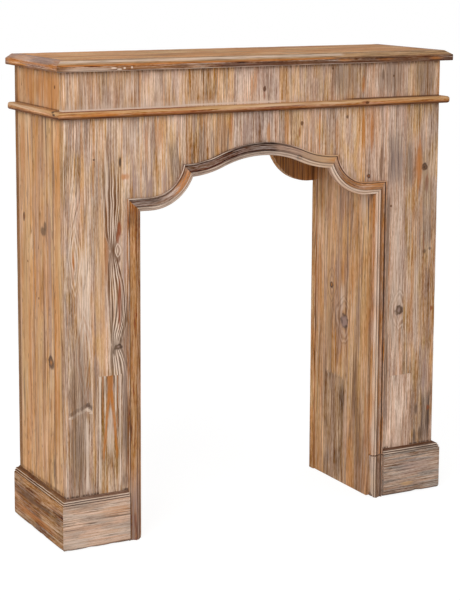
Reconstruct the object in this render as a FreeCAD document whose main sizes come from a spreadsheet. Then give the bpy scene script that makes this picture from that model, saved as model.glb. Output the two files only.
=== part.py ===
# Fireplace surround in limed fir: a hollow, stave-built chimneypiece with a cusped arch.
# Millimetres. X runs to the right, Y to the wall behind, Z up; the origin is on the floor,
# in the middle of the shelf's plan.
import FreeCAD, Part
import math
import os
import re
import Sketcher

SIZES = [
    ("height", 1000, "floor to top of mantel"),
    ("mantel_length", 940, "along the wall"),
    ("mantel_depth", 280, "wall to front edge"),
    ("mantel_thickness", 22, "top boards and edge strips"),
    ("mantel_overhang", 20, "shelf past the front and side panels"),
    ("edge_width", 28, "mitred edge strip of the shelf"),
    ("edge_chamfer_run", 14, "chamfer, measured across the shelf"),
    ("edge_chamfer_drop", 9, "chamfer, measured down"),
    ("edge_round", 2, "eased edges of the shelf strip"),
    ("board", 18, "panel and lining boards"),
    ("stave_width", 108, "full stave of a glued panel"),
    ("front_lap_left", 10, "left leg's inner stave past the panel's cut edge"),
    ("front_lap_right", 36, "right leg's inner stave past the panel's cut edge"),
    ("rear_lap", 20, "rear legs' inner staves past the panel's cut edge"),
    ("side_first_stave", 38, "front stave of each side panel"),
    ("jamb_first_stave", 82, "front stave of each jamb lining"),
    ("opening_width", 570, "between the jamb mouldings"),
    ("header_height", 187.5, "top of the arch to the mantel"),
    ("arch_rise", 99.5, "flat shoulder to the top of the arch"),
    ("shoulder_run", 24, "flat shoulder, from jamb to lobe"),
    ("lobe_radius", 104, "round lobe under the cusp"),
    ("crown_radius", 240, "middle arc of the arch"),
    ("crown_half_angle", 23, "degrees from the top to the start of the flare"),
    ("flare_radius", 217, "reverse arc between crown and cusp"),
    ("rear_inset", 4, "rear panel's edge past the jamb moulding, each side"),
    ("moulding_width", 27, "arch moulding seen from the front"),
    ("moulding_relief", 10, "arch moulding proud of the front panel"),
    ("lip_width", 8, "moulding's lip past the panel's cut edge"),
    ("lip_depth", 7, "lip behind the panel's face"),
    ("fillet_width", 2.5, "flat at the moulding's outer edge"),
    ("fillet_height", 6, "that flat above the panel"),
    ("quirk_drop", 2, "quirk beside that flat"),
    ("bead_width", 4.6, "each of two beads at the opening"),
    ("bead_rise", 1.2, "crown of a bead"),
    ("cove_sag", 1.4, "hollow of the cove below its chord"),
    ("groove_drop", 1.6, "groove between cove and beads"),
    ("fit_gap", 0.2, "between the lip and the panel's cut edge"),
    ("foot_height", 97, "right foot piece of the moulding"),
    ("foot_gap", 1.5, "open butt joint above that foot"),
    ("plinth_height", 109.5, "floor to the top of the plinth"),
    ("plinth_thickness", 13, "plinth proud of the panels"),
    ("plinth_lift", 2, "plinth boards clear of the floor"),
    ("plinth_round", 2.5, "eased lower edge of the plinth"),
    ("plinth_slope_drop", 4.5, "sloped top of the plinth, down"),
    ("plinth_slope_run", 8, "sloped top of the plinth, out"),
    ("plinth_step_drop", 2.5, "each small step below the slope, down"),
    ("plinth_step_run", 2.5, "first step, out"),
    ("plinth_side_gap", 1, "plinth's end to the jamb moulding"),
    ("frieze_height", 79, "top of the astragal to the mantel"),
    ("astragal_height", 15, "astragal strip"),
    ("astragal_proud", 16, "astragal past the panels"),
    ("astragal_round", 5, "bullnose edges of the astragal"),
    ("batten", 20, "square corner battens"),
    ("cleat_height", 30, "header battens and top cleats, upright"),
    ("batten_lift", 10, "corner battens clear of the floor"),
    ("screw_diameter", 4, "mantel screws"),
    ("screw_bite", 14, "screw in the mantel"),
    ("screw_head", 8, "head diameter"),
    ("screw_head_height", 2.5, "head under the batten"),
    ("screw_clearance", 0.25, "round and above a screw in its hole"),
    ("header_screw_pitch", 360, "along each header batten"),
]

MANTEL_BOARDS = ("front", "middle", "back")
HEADER_STAVES = 5

# Formulas of the sheet's values that several pieces share
FRONT = "(mantel_overhang - mantel_depth / 2)"
BACK = "(mantel_depth / 2)"
BODY_HALF = "(mantel_length / 2 - mantel_overhang)"
MANTEL_BASE = "(height - mantel_thickness)"
JAMB_FACE = "(opening_width / 2 + lip_width + fit_gap)"
INNER_FRONT = f"({FRONT} + board)"
INNER_BACK = f"({BACK} - board)"
INNER_DEPTH = f"({INNER_BACK} - {INNER_FRONT})"
LEG_OUTER = f"({BODY_HALF} - board)"
LEG_INNER = f"({JAMB_FACE} + board)"
PLINTH_INNER = "(opening_width / 2 + moulding_width + plinth_side_gap)"
CLEAT_BASE = f"({MANTEL_BASE} - cleat_height)"
CROWN_TOP = f"({MANTEL_BASE} - header_height)"
SHOULDER = f"({CROWN_TOP} - arch_rise)"
REAR_HALF = "(opening_width / 2 - rear_inset)"

doc = FreeCAD.newDocument("fireplace_surround")
sheet = doc.addObject("Spreadsheet::Sheet", "Sizes")
for row, (alias, number, note) in enumerate(SIZES, start=1):
    sheet.set(f"A{row}", str(number))
    sheet.setAlias(f"A{row}", alias)
    sheet.set(f"B{row}", note)
doc.recompute()

pieces = []


def value(formula):
    """Work out a formula of the sheet's names in plain numbers."""
    return float(doc.Sizes.evalExpression(re.sub(r"[a-z_]{2,}", r"Sizes.\g<0>", formula)))


def tie(item, prop, formula):
    """Bind a property to a formula of the sheet's names."""
    item.setExpression(prop, re.sub(r"[a-z_]{2,}", r"Sizes.\g<0>", formula))


def keep(item, label):
    """Count an object as a piece of the surround."""
    item.Label = label
    pieces.append(item)
    return item


def box(name, start, extent):
    """A board given by its lowest corner and its size along X, Y and Z."""
    item = doc.addObject("Part::Box", name)
    for axis, formula in zip("xyz", start):
        tie(item, f"Placement.Base.{axis}", formula)
    for side, formula in zip(("Length", "Width", "Height"), extent):
        tie(item, side, formula)
    return item


def solid_feature(name, shape):
    item = doc.addObject("Part::Feature", name)
    item.Shape = shape
    return item


def cut(name, base, tool):
    item = doc.addObject("Part::Cut", name)
    item.Base = base
    item.Tool = tool
    return item


def mirrored(source, label):
    """The right-hand twin of a left-hand piece."""
    item = doc.addObject("Part::Mirroring", label)
    item.Source = source
    item.Normal = FreeCAD.Vector(1, 0, 0)
    return keep(item, label)


# Strips with a drawn section: shelf edge, astragal and plinth
def sketch_on(body, role, name, corners):
    """A closed outline whose corners are bound to formulas."""
    sketch = body.newObject("Sketcher::SketchObject", name)
    plane = next(item for item in body.Origin.OriginFeatures if item.Role == role)
    sketch.AttachmentSupport = [(plane, "")]
    sketch.MapMode = "FlatFace"
    points = [FreeCAD.Vector(value(across), value(up), 0) for across, up in corners]
    for index, point in enumerate(points):
        sketch.addGeometry(Part.LineSegment(point, points[(index + 1) % len(points)]))
    for index in range(len(points)):
        following = (index + 1) % len(points)
        sketch.addConstraint(Sketcher.Constraint("Coincident", index, 2, following, 1))
    for index, (across, up) in enumerate(corners):
        for kind, formula in (("DistanceX", across), ("DistanceY", up)):
            rule = Sketcher.Constraint(kind, -1, 1, index, 1, value(formula))
            tie(sketch, f"Constraints[{sketch.addConstraint(rule)}]", formula)
    return sketch


def long_edges(shape, axis, spots):
    """Names of the edges along one axis that pass through the given section points."""
    others = [index for index in range(3) if index != axis]
    names = []
    for number, edge in enumerate(shape.Edges, start=1):
        middle = edge.CenterOfMass
        ends = [vertex.Point for vertex in edge.Vertexes]
        along = max(abs(ends[0][index] - ends[-1][index]) for index in others) < 1e-6
        near = any(max(abs(middle[index] - spot) for index, spot in zip(others, place)) < 1e-4
                   for place in spots)
        if along and near:
            names.append(f"Edge{number}")
    return names


def strip(label, role, start, length, section, eased, radius, corners):
    """A strip padded from its section, with some long edges eased and its ends mitred.

    role names the section's plane: YZ for a strip along X, XZ for one along Y.
    corners holds the triangles, seen from above, that the mitres take off."""
    body = doc.addObject("PartDesign::Body", label)
    sketch = sketch_on(body, role, f"{label}_section", section)
    along_x = role == "YZ_Plane"
    tie(sketch, "AttachmentOffset.Base.z", start if along_x else f"-{start}")
    pad = body.newObject("PartDesign::Pad", f"{label}_pad")
    pad.Profile = sketch
    pad.Reversed = not along_x
    tie(pad, "Length", length)
    doc.recompute()
    spots = [(value(across), value(up)) for across, up in eased]
    ease = body.newObject("PartDesign::Fillet", f"{label}_eased")
    ease.Base = (pad, long_edges(pad.Shape, 0 if along_x else 1, spots))
    tie(ease, "Radius", radius)
    for number, triangle in enumerate(corners, start=1):
        outline = sketch_on(body, "XY_Plane", f"{label}_mitre_{number}", triangle)
        mitre = body.newObject("PartDesign::Pocket", f"{label}_mitre_cut_{number}")
        mitre.Profile = outline
        mitre.Type = "ThroughAll"
        mitre.Midplane = True
    doc.recompute()
    return keep(body, label)


def strip_set(name, proud, width, section, eased, radius, inner_end=None):
    """A front strip and its left and right returns, mitred at the outer corners.

    proud is how far the strip stands past the panels, and width its plan width.
    section and eased are given as distance behind the strip's outer face, and height.
    With inner_end the front strip is two, which stop short of the opening there."""
    outer_x = f"({BODY_HALF} + {proud})"
    outer_y = f"({FRONT} - {proud})"
    near, far = f"(0 - {outer_x})", f"({width} - {outer_x})"
    deep = f"({outer_y} + {width})"
    front_off = [(near, outer_y), (far, deep), (near, deep)]
    side_off = [(near, outer_y), (far, outer_y), (far, deep)]
    front_section = [(f"{outer_y} + {back}", up) for back, up in section]
    front_eased = [(f"{outer_y} + {back}", up) for back, up in eased]
    side_section = [(f"{near} + {back}", up) for back, up in section]
    side_eased = [(f"{near} + {back}", up) for back, up in eased]
    if inner_end is None:
        right_off = [(outer_x, outer_y), (f"(0 - {far})", deep), (outer_x, deep)]
        strip(f"{name}_front", "YZ_Plane", near, f"2 * {outer_x}", front_section, front_eased, radius,
              [front_off, right_off])
        sides = f"{name}_left", f"{name}_right"
    else:
        left_front = strip(f"{name}_left_front", "YZ_Plane", near, f"{outer_x} - {inner_end}", front_section,
                           front_eased, radius, [front_off])
        mirrored(left_front, f"{name}_right_front")
        sides = f"{name}_left_side", f"{name}_right_side"
    left = strip(sides[0], "XZ_Plane", outer_y, f"{BACK} - {outer_y}", side_section, side_eased, radius,
                 [side_off])
    mirrored(left, sides[1])


def mantel_edges():
    face_top = "(height - edge_chamfer_drop)"
    section = [("0", MANTEL_BASE), ("edge_width", MANTEL_BASE), ("edge_width", "height"),
               ("edge_chamfer_run", "height"), ("0", face_top)]
    strip_set("mantel_edge", "mantel_overhang", "edge_width", section,
              [("0", MANTEL_BASE), ("0", face_top)], "edge_round")


def astragal():
    top = f"({MANTEL_BASE} - frieze_height)"
    base = f"({top} - astragal_height)"
    section = [("0", base), ("astragal_proud", base), ("astragal_proud", top), ("0", top)]
    strip_set("astragal", "astragal_proud", "astragal_proud", section, [("0", base), ("0", top)],
              "astragal_round")


def plinth():
    slope_foot = "(plinth_height - plinth_slope_drop)"
    step_one = f"({slope_foot} - plinth_step_drop)"
    step_two = f"({step_one} - plinth_step_drop)"
    face_top = f"({step_two} - plinth_step_drop)"
    ledge = "(plinth_thickness - plinth_slope_run)"
    tread = f"({ledge} - plinth_step_run)"
    section = [("0", "plinth_lift"), ("plinth_thickness", "plinth_lift"),
               ("plinth_thickness", "plinth_height"), (ledge, slope_foot), (ledge, step_one),
               (tread, step_one), (tread, step_two), ("0", face_top)]
    strip_set("plinth", "plinth_thickness", "plinth_thickness", section, [("0", "plinth_lift")],
              "plinth_round", PLINTH_INNER)


# The cusped arch, drawn as arcs at any distance outside the opening's own line
def toward(degrees):
    """Unit vector in the front plane, turned from straight up towards +X."""
    angle = math.radians(degrees)
    return FreeCAD.Vector(math.sin(angle), 0, math.cos(angle))


def heading(centre, point):
    return math.degrees(math.atan2(point.x - centre.x, point.z - centre.z)) % 360


class Arch:
    """Centres and radii of the arch's right half."""

    def __init__(self):
        self.half = value("opening_width / 2")
        self.shoulder = value(SHOULDER)
        self.crown_radius = value("crown_radius")
        self.flare_radius = value("flare_radius")
        self.lobe_radius = value("lobe_radius")
        self.turn = value("crown_half_angle")
        self.crown = FreeCAD.Vector(0, 0, value(CROWN_TOP) - self.crown_radius)
        self.flare = self.crown + toward(self.turn) * (self.crown_radius + self.flare_radius)
        self.lobe = FreeCAD.Vector(self.half - value("shoulder_run"), 0, self.shoulder + self.lobe_radius)

    def cusp(self, offset):
        """Where the flare meets the lobe: the crossing of their circles on the side of the opening."""
        flare_radius = self.flare_radius - offset
        lobe_radius = self.lobe_radius - offset
        between = self.lobe - self.flare
        along = (between.Length ** 2 + flare_radius ** 2 - lobe_radius ** 2) / (2 * between.Length)
        aside = math.sqrt(flare_radius ** 2 - along ** 2)
        unit = between / between.Length
        return self.flare + unit * along + FreeCAD.Vector(unit.z, 0, -unit.x) * aside

    def arc(self, centre, radius, start, end):
        steps = (start, (start + end) / 2, end)
        return Part.Arc(*[centre + toward(angle) * radius for angle in steps]).toShape()

    def half_outline(self, offset, half):
        """Edges from the top of the arch down the right side to below the floor."""
        cusp = self.cusp(offset)
        spring = self.lobe + toward(180) * (self.lobe_radius - offset)
        corner = FreeCAD.Vector(half + offset, 0, self.shoulder + offset)
        foot = FreeCAD.Vector(half + offset, 0, -value("board"))
        return [
            self.arc(self.crown, self.crown_radius + offset, 0, self.turn),
            self.arc(self.flare, self.flare_radius - offset, 180 + self.turn, heading(self.flare, cusp)),
            self.arc(self.lobe, self.lobe_radius - offset, heading(self.lobe, cusp), 180),
            Part.LineSegment(spring, corner).toShape(),
            Part.LineSegment(corner, foot).toShape(),
        ]

    def cutter(self, name, offset, half, near, far):
        """A prism of the opening's outline between two depths."""
        right = self.half_outline(offset, half)
        left = [edge.mirror(FreeCAD.Vector(), FreeCAD.Vector(1, 0, 0)) for edge in right]
        foot = right[-1].Vertexes[-1].Point
        sill = Part.LineSegment(foot, FreeCAD.Vector(-foot.x, 0, foot.z)).toShape()
        wire = Part.Wire(Part.__sortEdges__(right + left + [sill]))
        prism = Part.Face(wire).extrude(FreeCAD.Vector(0, far - near, 0))
        prism.translate(FreeCAD.Vector(0, near, 0))
        return solid_feature(name, prism)


def staves(name, depth, left_seam, right_seam, cutter):
    """Edge-glued staves right across the front or back, cut to the arch, left to right.

    Two staves make each leg; the rest, between the two seams, make the header."""
    step = f"(({right_seam} - {left_seam}) / {HEADER_STAVES})"
    seams = [f"(0 - {BODY_HALF})", f"({left_seam} - stave_width)"]
    seams += [f"({left_seam} + {number} * {step})" for number in range(HEADER_STAVES + 1)]
    seams += [f"({right_seam} + stave_width)", BODY_HALF]
    for number, (left, right) in enumerate(zip(seams, seams[1:]), start=1):
        label = f"{name}_stave_{number}"
        plank = box(f"{label}_plank", (left, depth, "0"), (f"{right} - {left}", "board", MANTEL_BASE))
        keep(cut(label, plank, cutter), label)


def wall_staves(name, face, first):
    """Staves of a side panel or a jamb lining on both legs, from front to back."""
    pitch = value("stave_width")
    count = 1 + math.ceil((value(INNER_DEPTH) - value(first)) / pitch - 1e-6)
    for side, left_face in (("left", f"(0 - {face} - board)"), ("right", face)):
        for number in range(1, count + 1):
            near = "0" if number == 1 else f"({first} + {number - 2} * stave_width)"
            far = INNER_DEPTH if number == count else f"({first} + {number - 1} * stave_width)"
            label = f"{side}_{name}_stave_{number}"
            keep(box(label, (left_face, f"{INNER_FRONT} + {near}", "0"),
                     ("board", f"{far} - {near}", MANTEL_BASE)), label)


# The arch moulding: one section, carried round arcs and along straights
def moulding_section(place):
    """The moulding's section. place turns (distance outside the opening, height above the panel) into
    a point in space."""
    width = value("moulding_width")
    relief = value("moulding_relief")
    lip = value("lip_width")
    back = -value("lip_depth")
    flat = width - value("fillet_width")
    quirk = value("fillet_height - quirk_drop")
    bead = value("bead_width")
    groove = relief - value("groove_drop")
    crest = groove + value("bead_rise")
    fall = groove - bead
    cove_start = 2 * bead + value("groove_drop")
    cove_middle = ((flat + cove_start) / 2, (quirk + relief) / 2 - value("cove_sag"))
    outside = [(flat, quirk), (flat, value("fillet_height")), (width, value("fillet_height")), (width, 0),
               (lip, 0), (lip, back), (0, back), (0, fall)]
    beads = [(0, fall), (bead / 3, groove - bead / 3), (bead, groove), (4 / 3 * bead, crest),
             (5 / 3 * bead, crest), (2 * bead, groove), (cove_start, relief)]
    points = outside + beads[1:]
    edges = [Part.LineSegment(place(*here), place(*there)).toShape()
             for here, there in zip(points, points[1:])]
    edges.append(Part.Arc(place(cove_start, relief), place(*cove_middle), place(flat, quirk)).toShape())
    return Part.Face(Part.Wire(edges))


def round_run(centre, radius, outward, start, end):
    """The section turned about a centre, from one angle to another."""
    front = value(FRONT)

    def place(out, proud):
        spot = centre + toward(start) * (radius + outward * out)
        return FreeCAD.Vector(spot.x, front - proud, spot.z)

    axis = FreeCAD.Vector(0, 1, 0)
    return moulding_section(place).revolve(centre, axis, end - start)


def straight_run(base, outward, run):
    """The section carried along a straight."""
    front = value(FRONT)

    def place(out, proud):
        spot = base + outward * out
        return FreeCAD.Vector(spot.x, front - proud, spot.z)

    return moulding_section(place).extrude(run)


def beside(here, there, side):
    """A large block on one side of the upright plane through two points: a mitre's tool."""
    reach = value("mantel_length + height")
    along = (there - here).normalize() * reach
    aside = side * reach
    corners = [here - along, here + along, here + along + aside, here - along + aside]
    block = Part.Face(Part.makePolygon(corners + corners[:1])).extrude(FreeCAD.Vector(0, 2 * reach, 0))
    block.translate(FreeCAD.Vector(0, -reach, 0))
    return block


def arch_moulding(arch):
    width = value("moulding_width")
    spare = math.degrees(width / (arch.lobe_radius - width)) / 2
    left, right, up = FreeCAD.Vector(-1, 0, 0), FreeCAD.Vector(1, 0, 0), FreeCAD.Vector(0, 0, 1)
    inner_cusp, outer_cusp = arch.cusp(0), arch.cusp(width)
    inner_corner = FreeCAD.Vector(arch.half, 0, arch.shoulder)
    outer_corner = inner_corner + (right + up) * width

    crown = round_run(arch.crown, arch.crown_radius, 1, 0, arch.turn)
    flare_end = heading(arch.flare, outer_cusp) - spare
    flare = round_run(arch.flare, arch.flare_radius, -1, 180 + arch.turn, flare_end)
    half_arch = crown.fuse(flare.common(beside(inner_cusp, outer_cusp, left)))

    lobe_end = heading(arch.lobe, outer_cusp) + spare
    lobe = round_run(arch.lobe, arch.lobe_radius, -1, 180, lobe_end)
    spring = arch.lobe + toward(180) * arch.lobe_radius
    shoulder = straight_run(spring, up, right * (outer_corner.x - spring.x))
    lobe = lobe.common(beside(inner_cusp, outer_cusp, right))
    lobe = lobe.fuse(shoulder.common(beside(inner_corner, outer_corner, left)))

    def jamb(low):
        foot = FreeCAD.Vector(arch.half, 0, low)
        run = straight_run(foot, right, up * (outer_corner.z - low))
        return run.common(beside(inner_corner, outer_corner, right))

    foot = straight_run(FreeCAD.Vector(arch.half, 0, 0), right, up * value("foot_height"))
    shapes = {
        "right_arch": half_arch,
        "right_lobe": lobe,
        "right_jamb": jamb(value("foot_height + foot_gap")),
        "right_foot": foot,
    }
    middle, across = FreeCAD.Vector(), FreeCAD.Vector(1, 0, 0)
    shapes["left_arch"] = half_arch.mirror(middle, across)
    shapes["left_lobe"] = lobe.mirror(middle, across)
    shapes["left_jamb"] = jamb(0).mirror(middle, across)
    for name, shape in shapes.items():
        label = f"moulding_{name}"
        keep(solid_feature(label, shape.removeSplitter().Solids[0]), label)


# Shelf boards, inner battens and the screws that join them
def screw_places():
    """Plan positions of the mantel screws: two in each header batten, one in each top cleat."""
    header_x = value("header_screw_pitch / 2")
    cleat_x = value(f"{LEG_OUTER} - batten / 2")
    rows = [value(f"{INNER_FRONT} + batten / 2"), value(f"{INNER_BACK} - batten / 2")]
    middle = value(f"({FRONT} + {BACK}) / 2")
    headers = [(side * header_x, y) for y in rows for side in (-1, 1)]
    cleats = [(side * cleat_x, middle) for side in (-1, 1)]
    return headers + cleats


def mantel_screws():
    """The screws as one group, and the holes that take them."""
    base = value(CLEAT_BASE)
    radius = value("screw_diameter / 2")
    gap = value("screw_clearance")
    length = value("cleat_height + screw_bite")
    head_height = value("screw_head_height")
    up = FreeCAD.Vector(0, 0, 1)
    screws, holes = [], []
    for x, y in screw_places():
        foot = FreeCAD.Vector(x, y, base)
        head = Part.makeCylinder(value("screw_head / 2"), head_height, foot - up * head_height, up)
        screws.append(head.fuse(Part.makeCylinder(radius, length, foot, up)).removeSplitter().Solids[0])
        holes.append(Part.makeCylinder(radius + gap, length + gap, foot, up))
    keep(solid_feature("mantel_screws", Part.makeCompound(screws)), "mantel_screws")
    return solid_feature("screw_holes", Part.makeCompound(holes))


def mantel_boards(holes):
    width = f"((mantel_depth - edge_width) / {len(MANTEL_BOARDS)})"
    for number, name in enumerate(MANTEL_BOARDS):
        label = f"mantel_board_{name}"
        plank = box(f"{label}_plank",
                    ("edge_width - mantel_length / 2",
                     f"edge_width - mantel_depth / 2 + {number} * {width}", MANTEL_BASE),
                    ("mantel_length - 2 * edge_width", width, "mantel_thickness"))
        keep(cut(label, plank, holes), label)


def battens(holes):
    header = ("2 * " + JAMB_FACE, "batten", "cleat_height")
    header_x = f"0 - {JAMB_FACE}"
    rows = {"header_batten_front": INNER_FRONT, "header_batten_rear": f"{INNER_BACK} - batten"}
    for label, depth in rows.items():
        keep(cut(label, box(f"{label}_blank", (header_x, depth, CLEAT_BASE), header), holes), label)
    cleat = ("batten", INNER_DEPTH, "cleat_height")
    upright = ("batten", "batten", f"{CLEAT_BASE} - batten_lift")
    outer = {"left": f"0 - {LEG_OUTER}", "right": f"{LEG_OUTER} - batten"}
    inner = {"left": f"0 - {LEG_INNER} - batten", "right": LEG_INNER}
    for side in ("left", "right"):
        label = f"{side}_leg_cleat"
        blank = box(f"{label}_blank", (outer[side], INNER_FRONT, CLEAT_BASE), cleat)
        keep(cut(label, blank, holes), label)
        for corner, places in (("outer", outer), ("inner", inner)):
            label = f"{side}_leg_batten_{corner}"
            keep(box(label, (places[side], INNER_FRONT, "batten_lift"), upright), label)


def check_and_write():
    doc.recompute()
    for item in doc.Objects:
        if "Invalid" in item.State or "Error" in item.State:
            raise RuntimeError(f"{item.Label} failed: {item.State}")
    for item in pieces:
        shape = item.Shape
        if shape.isNull() or not shape.isValid() or not shape.Solids:
            raise RuntimeError(f"{item.Label} has no sound shape")
        if len(shape.Solids) > 1 and item.Label != "mantel_screws":
            raise RuntimeError(f"{item.Label} fell into {len(shape.Solids)} solids")
    os.makedirs("parts", exist_ok=True)
    for item in pieces:
        item.Shape.exportStep(f"parts/{item.Label}.step")
    print(len(pieces), "pieces written")


def main():
    arch = Arch()
    edge = value("lip_width + fit_gap")
    front, back = value(FRONT), value(BACK)
    board = value("board")
    front_cut = arch.cutter("front_opening", edge, arch.half, front - board, front + 2 * board)
    rear_cut = arch.cutter("rear_opening", 0, value(REAR_HALF), back - 2 * board, back + board)
    staves("front", FRONT, f"(front_lap_left - {JAMB_FACE})", f"({JAMB_FACE} - front_lap_right)", front_cut)
    staves("rear", INNER_BACK, f"(rear_lap - {REAR_HALF})", f"({REAR_HALF} - rear_lap)", rear_cut)
    wall_staves("side", LEG_OUTER, "side_first_stave")
    wall_staves("jamb", JAMB_FACE, "jamb_first_stave")
    arch_moulding(arch)
    mantel_edges()
    astragal()
    plinth()
    holes = mantel_screws()
    mantel_boards(holes)
    battens(holes)
    check_and_write()


main()
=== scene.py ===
import math
from collections import namedtuple

import bmesh
import bpy
from bpy.props import FloatProperty, FloatVectorProperty, PointerProperty
from mathutils import Matrix, Vector, noise
from mathutils.bvhtree import BVHTree


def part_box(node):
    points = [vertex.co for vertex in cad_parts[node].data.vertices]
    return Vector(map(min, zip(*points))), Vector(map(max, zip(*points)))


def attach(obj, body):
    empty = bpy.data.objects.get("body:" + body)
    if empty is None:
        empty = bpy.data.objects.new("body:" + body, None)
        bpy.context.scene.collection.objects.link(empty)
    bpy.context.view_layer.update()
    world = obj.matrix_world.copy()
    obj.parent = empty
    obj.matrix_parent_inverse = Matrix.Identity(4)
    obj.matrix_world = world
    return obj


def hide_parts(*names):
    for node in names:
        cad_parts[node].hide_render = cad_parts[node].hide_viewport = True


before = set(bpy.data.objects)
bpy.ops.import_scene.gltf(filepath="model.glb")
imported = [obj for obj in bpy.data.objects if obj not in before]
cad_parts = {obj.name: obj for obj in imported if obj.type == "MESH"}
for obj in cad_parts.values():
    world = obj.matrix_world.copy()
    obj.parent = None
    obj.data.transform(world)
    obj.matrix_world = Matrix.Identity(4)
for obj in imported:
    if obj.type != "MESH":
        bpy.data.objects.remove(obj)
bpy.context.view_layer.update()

bl_info = {
    "name": "Limed Fir Fireplace Surround",
    "version": (1, 0, 0),
    "blender": (4, 5, 0),
    "location": "View3D > Sidebar > Surround",
    "description": "Dresses a stave-built fireplace surround in brushed and limed fir",
    "category": "Object",
}

MM = 0.001
PER_M = 1000.0


def paint(red, green, blue):
    """An eight-bit screen colour as the scene-linear colour that shaders take."""
    def linear(channel):
        share = channel / 255
        return share / 12.92 if share <= 0.04045 else ((share + 0.055) / 1.055) ** 2.4
    return linear(red), linear(green), linear(blue)


def colour_prop(name, note, screen):
    return FloatVectorProperty(name=name, description=note, subtype="COLOR", size=3, min=0, max=1,
                               default=paint(*screen))


def length_prop(name, note, millimetres):
    return FloatProperty(name=name, description=note, subtype="DISTANCE", unit="LENGTH", precision=4,
                         default=millimetres * MM)


class SurroundSizes(bpy.types.PropertyGroup):
    ease: length_prop("Eased edge", "Rounding of edges that stand free", 1.4)
    hairline: length_prop("Hairline", "Tiny easing of edges that butt against a neighbour", 0.25)
    wear: length_prop("Edge wear", "How deep knocks bite into an eased edge", 0.9)
    wear_pitch: length_prop("Wear pitch", "Length of one stretch between knocks", 18)
    camera_lens: FloatProperty(name="Lens", description="Camera focal length in millimetres", default=100.807,
                               subtype="DISTANCE_CAMERA", unit="CAMERA")
    camera_drop: FloatProperty(name="Lens drop", description="Vertical shift of the lens as a share of the picture",
                               default=-0.16667, subtype="FACTOR", min=-1, max=1)


class SurroundColours(bpy.types.PropertyGroup):
    # Honey also paints a highlight along the astragal's top.
    honey: colour_prop("Honey", "Clean planed fir", (198, 157, 112))
    blush: colour_prop("Blush", "Fir under a thin rosy wash", (199, 164, 141))
    # Amber and umber also give the rear panel's inner face a darker tone that is partly painted shade.
    amber: colour_prop("Amber", "Resin-rich late wood", (184, 122, 66))
    chalk: colour_prop("Chalk", "Lime left in the brushed grain", (218, 195, 176))
    mauve: colour_prop("Mauve", "Lime greyed by handling", (152, 127, 118))
    ash: colour_prop("Ash", "Grey lime of the right plinth and the legs' feet", (158, 145, 134))
    # Umber also paints shade: under the shelf, along the astragal, above the plinth, along the bottom of the shelf's
    # returns and on the rear panel's inner face.
    umber: colour_prop("Umber", "Brown dirt in the grain", (100, 67, 44))
    bark: colour_prop("Bark", "Grey-brown dirt in the limed grain", (98, 75, 57))
    # Soot also paints shade: in the moulding's grooves and along its quirk, on the jamb lining behind its lip, above
    # the plinth on the front staves, and in the plinth's grooves and along its foot.
    soot: colour_prop("Soot", "Darkest weathering", (70, 52, 45))
    # Peat also paints shade on the astragal's underside and in the plinth's hollow.
    peat: colour_prop("Peat", "Dark brown of the shelf's edge and the astragal's underside", (84, 48, 26))
    plum: colour_prop("Plum", "Stained edges of the shelf and arch", (104, 74, 62))
    resin: colour_prop("Resin", "Orange resin streaks", (178, 110, 50))
    toffee: colour_prop("Toffee", "Old varnish in the grain of the left leg", (156, 98, 48))
    # Rust also paints shade on the astragal's lower half and a shadow along its top at the left.
    rust: colour_prop("Rust", "Red heartwood beside a knot", (134, 70, 38))
    batten: colour_prop("Batten", "Bare fir inside the legs", (206, 172, 126))
    zinc: colour_prop("Zinc", "Plated screws", (168, 164, 150))
    floor: colour_prop("Floor", "Pale studio floor", (244, 244, 244))


def sizes():
    return bpy.context.scene.surround_sizes


def colour(name):
    return (*getattr(bpy.context.scene.surround_colours, name), 1.0)


# Node trees, written as plain arithmetic
class Wire:
    """A value in a node tree. Arithmetic on it adds Math nodes, or Vector Math nodes for vectors and colours."""

    def __init__(self, web, socket):
        self.web, self.socket = web, socket

    def __add__(self, other):
        return self.web.math("ADD", self, other)

    def __sub__(self, other):
        return self.web.math("SUBTRACT", self, other)

    def __rsub__(self, other):
        return self.web.math("SUBTRACT", other, self)

    def __mul__(self, other):
        return self.web.math("MULTIPLY", self, other)

    def __truediv__(self, other):
        return self.web.math("DIVIDE", self, other)

    def __pow__(self, power):
        return self.web.math("POWER", self, power)

    def __abs__(self):
        return self.web.math("ABSOLUTE", self)

    def scaled(self, factor, start):
        """The value times a factor, added to a start."""
        return self.web.math("MULTIPLY_ADD", self, factor, start)

    def share(self, other):
        """The value times another, kept between 0 and 1."""
        return self.web.math("MULTIPLY", self, other, clamp=True)

    def fall(self):
        """1 at nothing, falling away as the value grows."""
        return self.web.math("EXPONENT", self * -1.0)

    def rise(self, low, high, bottom=0.0, top=1.0):
        """A smooth step, from bottom where the value is low to top where it is high."""
        return self.web.wire("ShaderNodeMapRange", {0: self, 1: low, 2: high, 3: bottom, 4: top}, 0,
                             interpolation_type="SMOOTHSTEP")

    def off_line(self, shift):
        """Distance from the middle between evenly spaced places."""
        return abs(self.web.math("FRACT", self + shift) - 0.5)

    def length(self):
        return self.web.wire("ShaderNodeVectorMath", {0: self}, "Value", operation="LENGTH")

    def split(self):
        return [Wire(self.web, part) for part in self.web.node("ShaderNodeSeparateXYZ", {0: self}).outputs]


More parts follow.
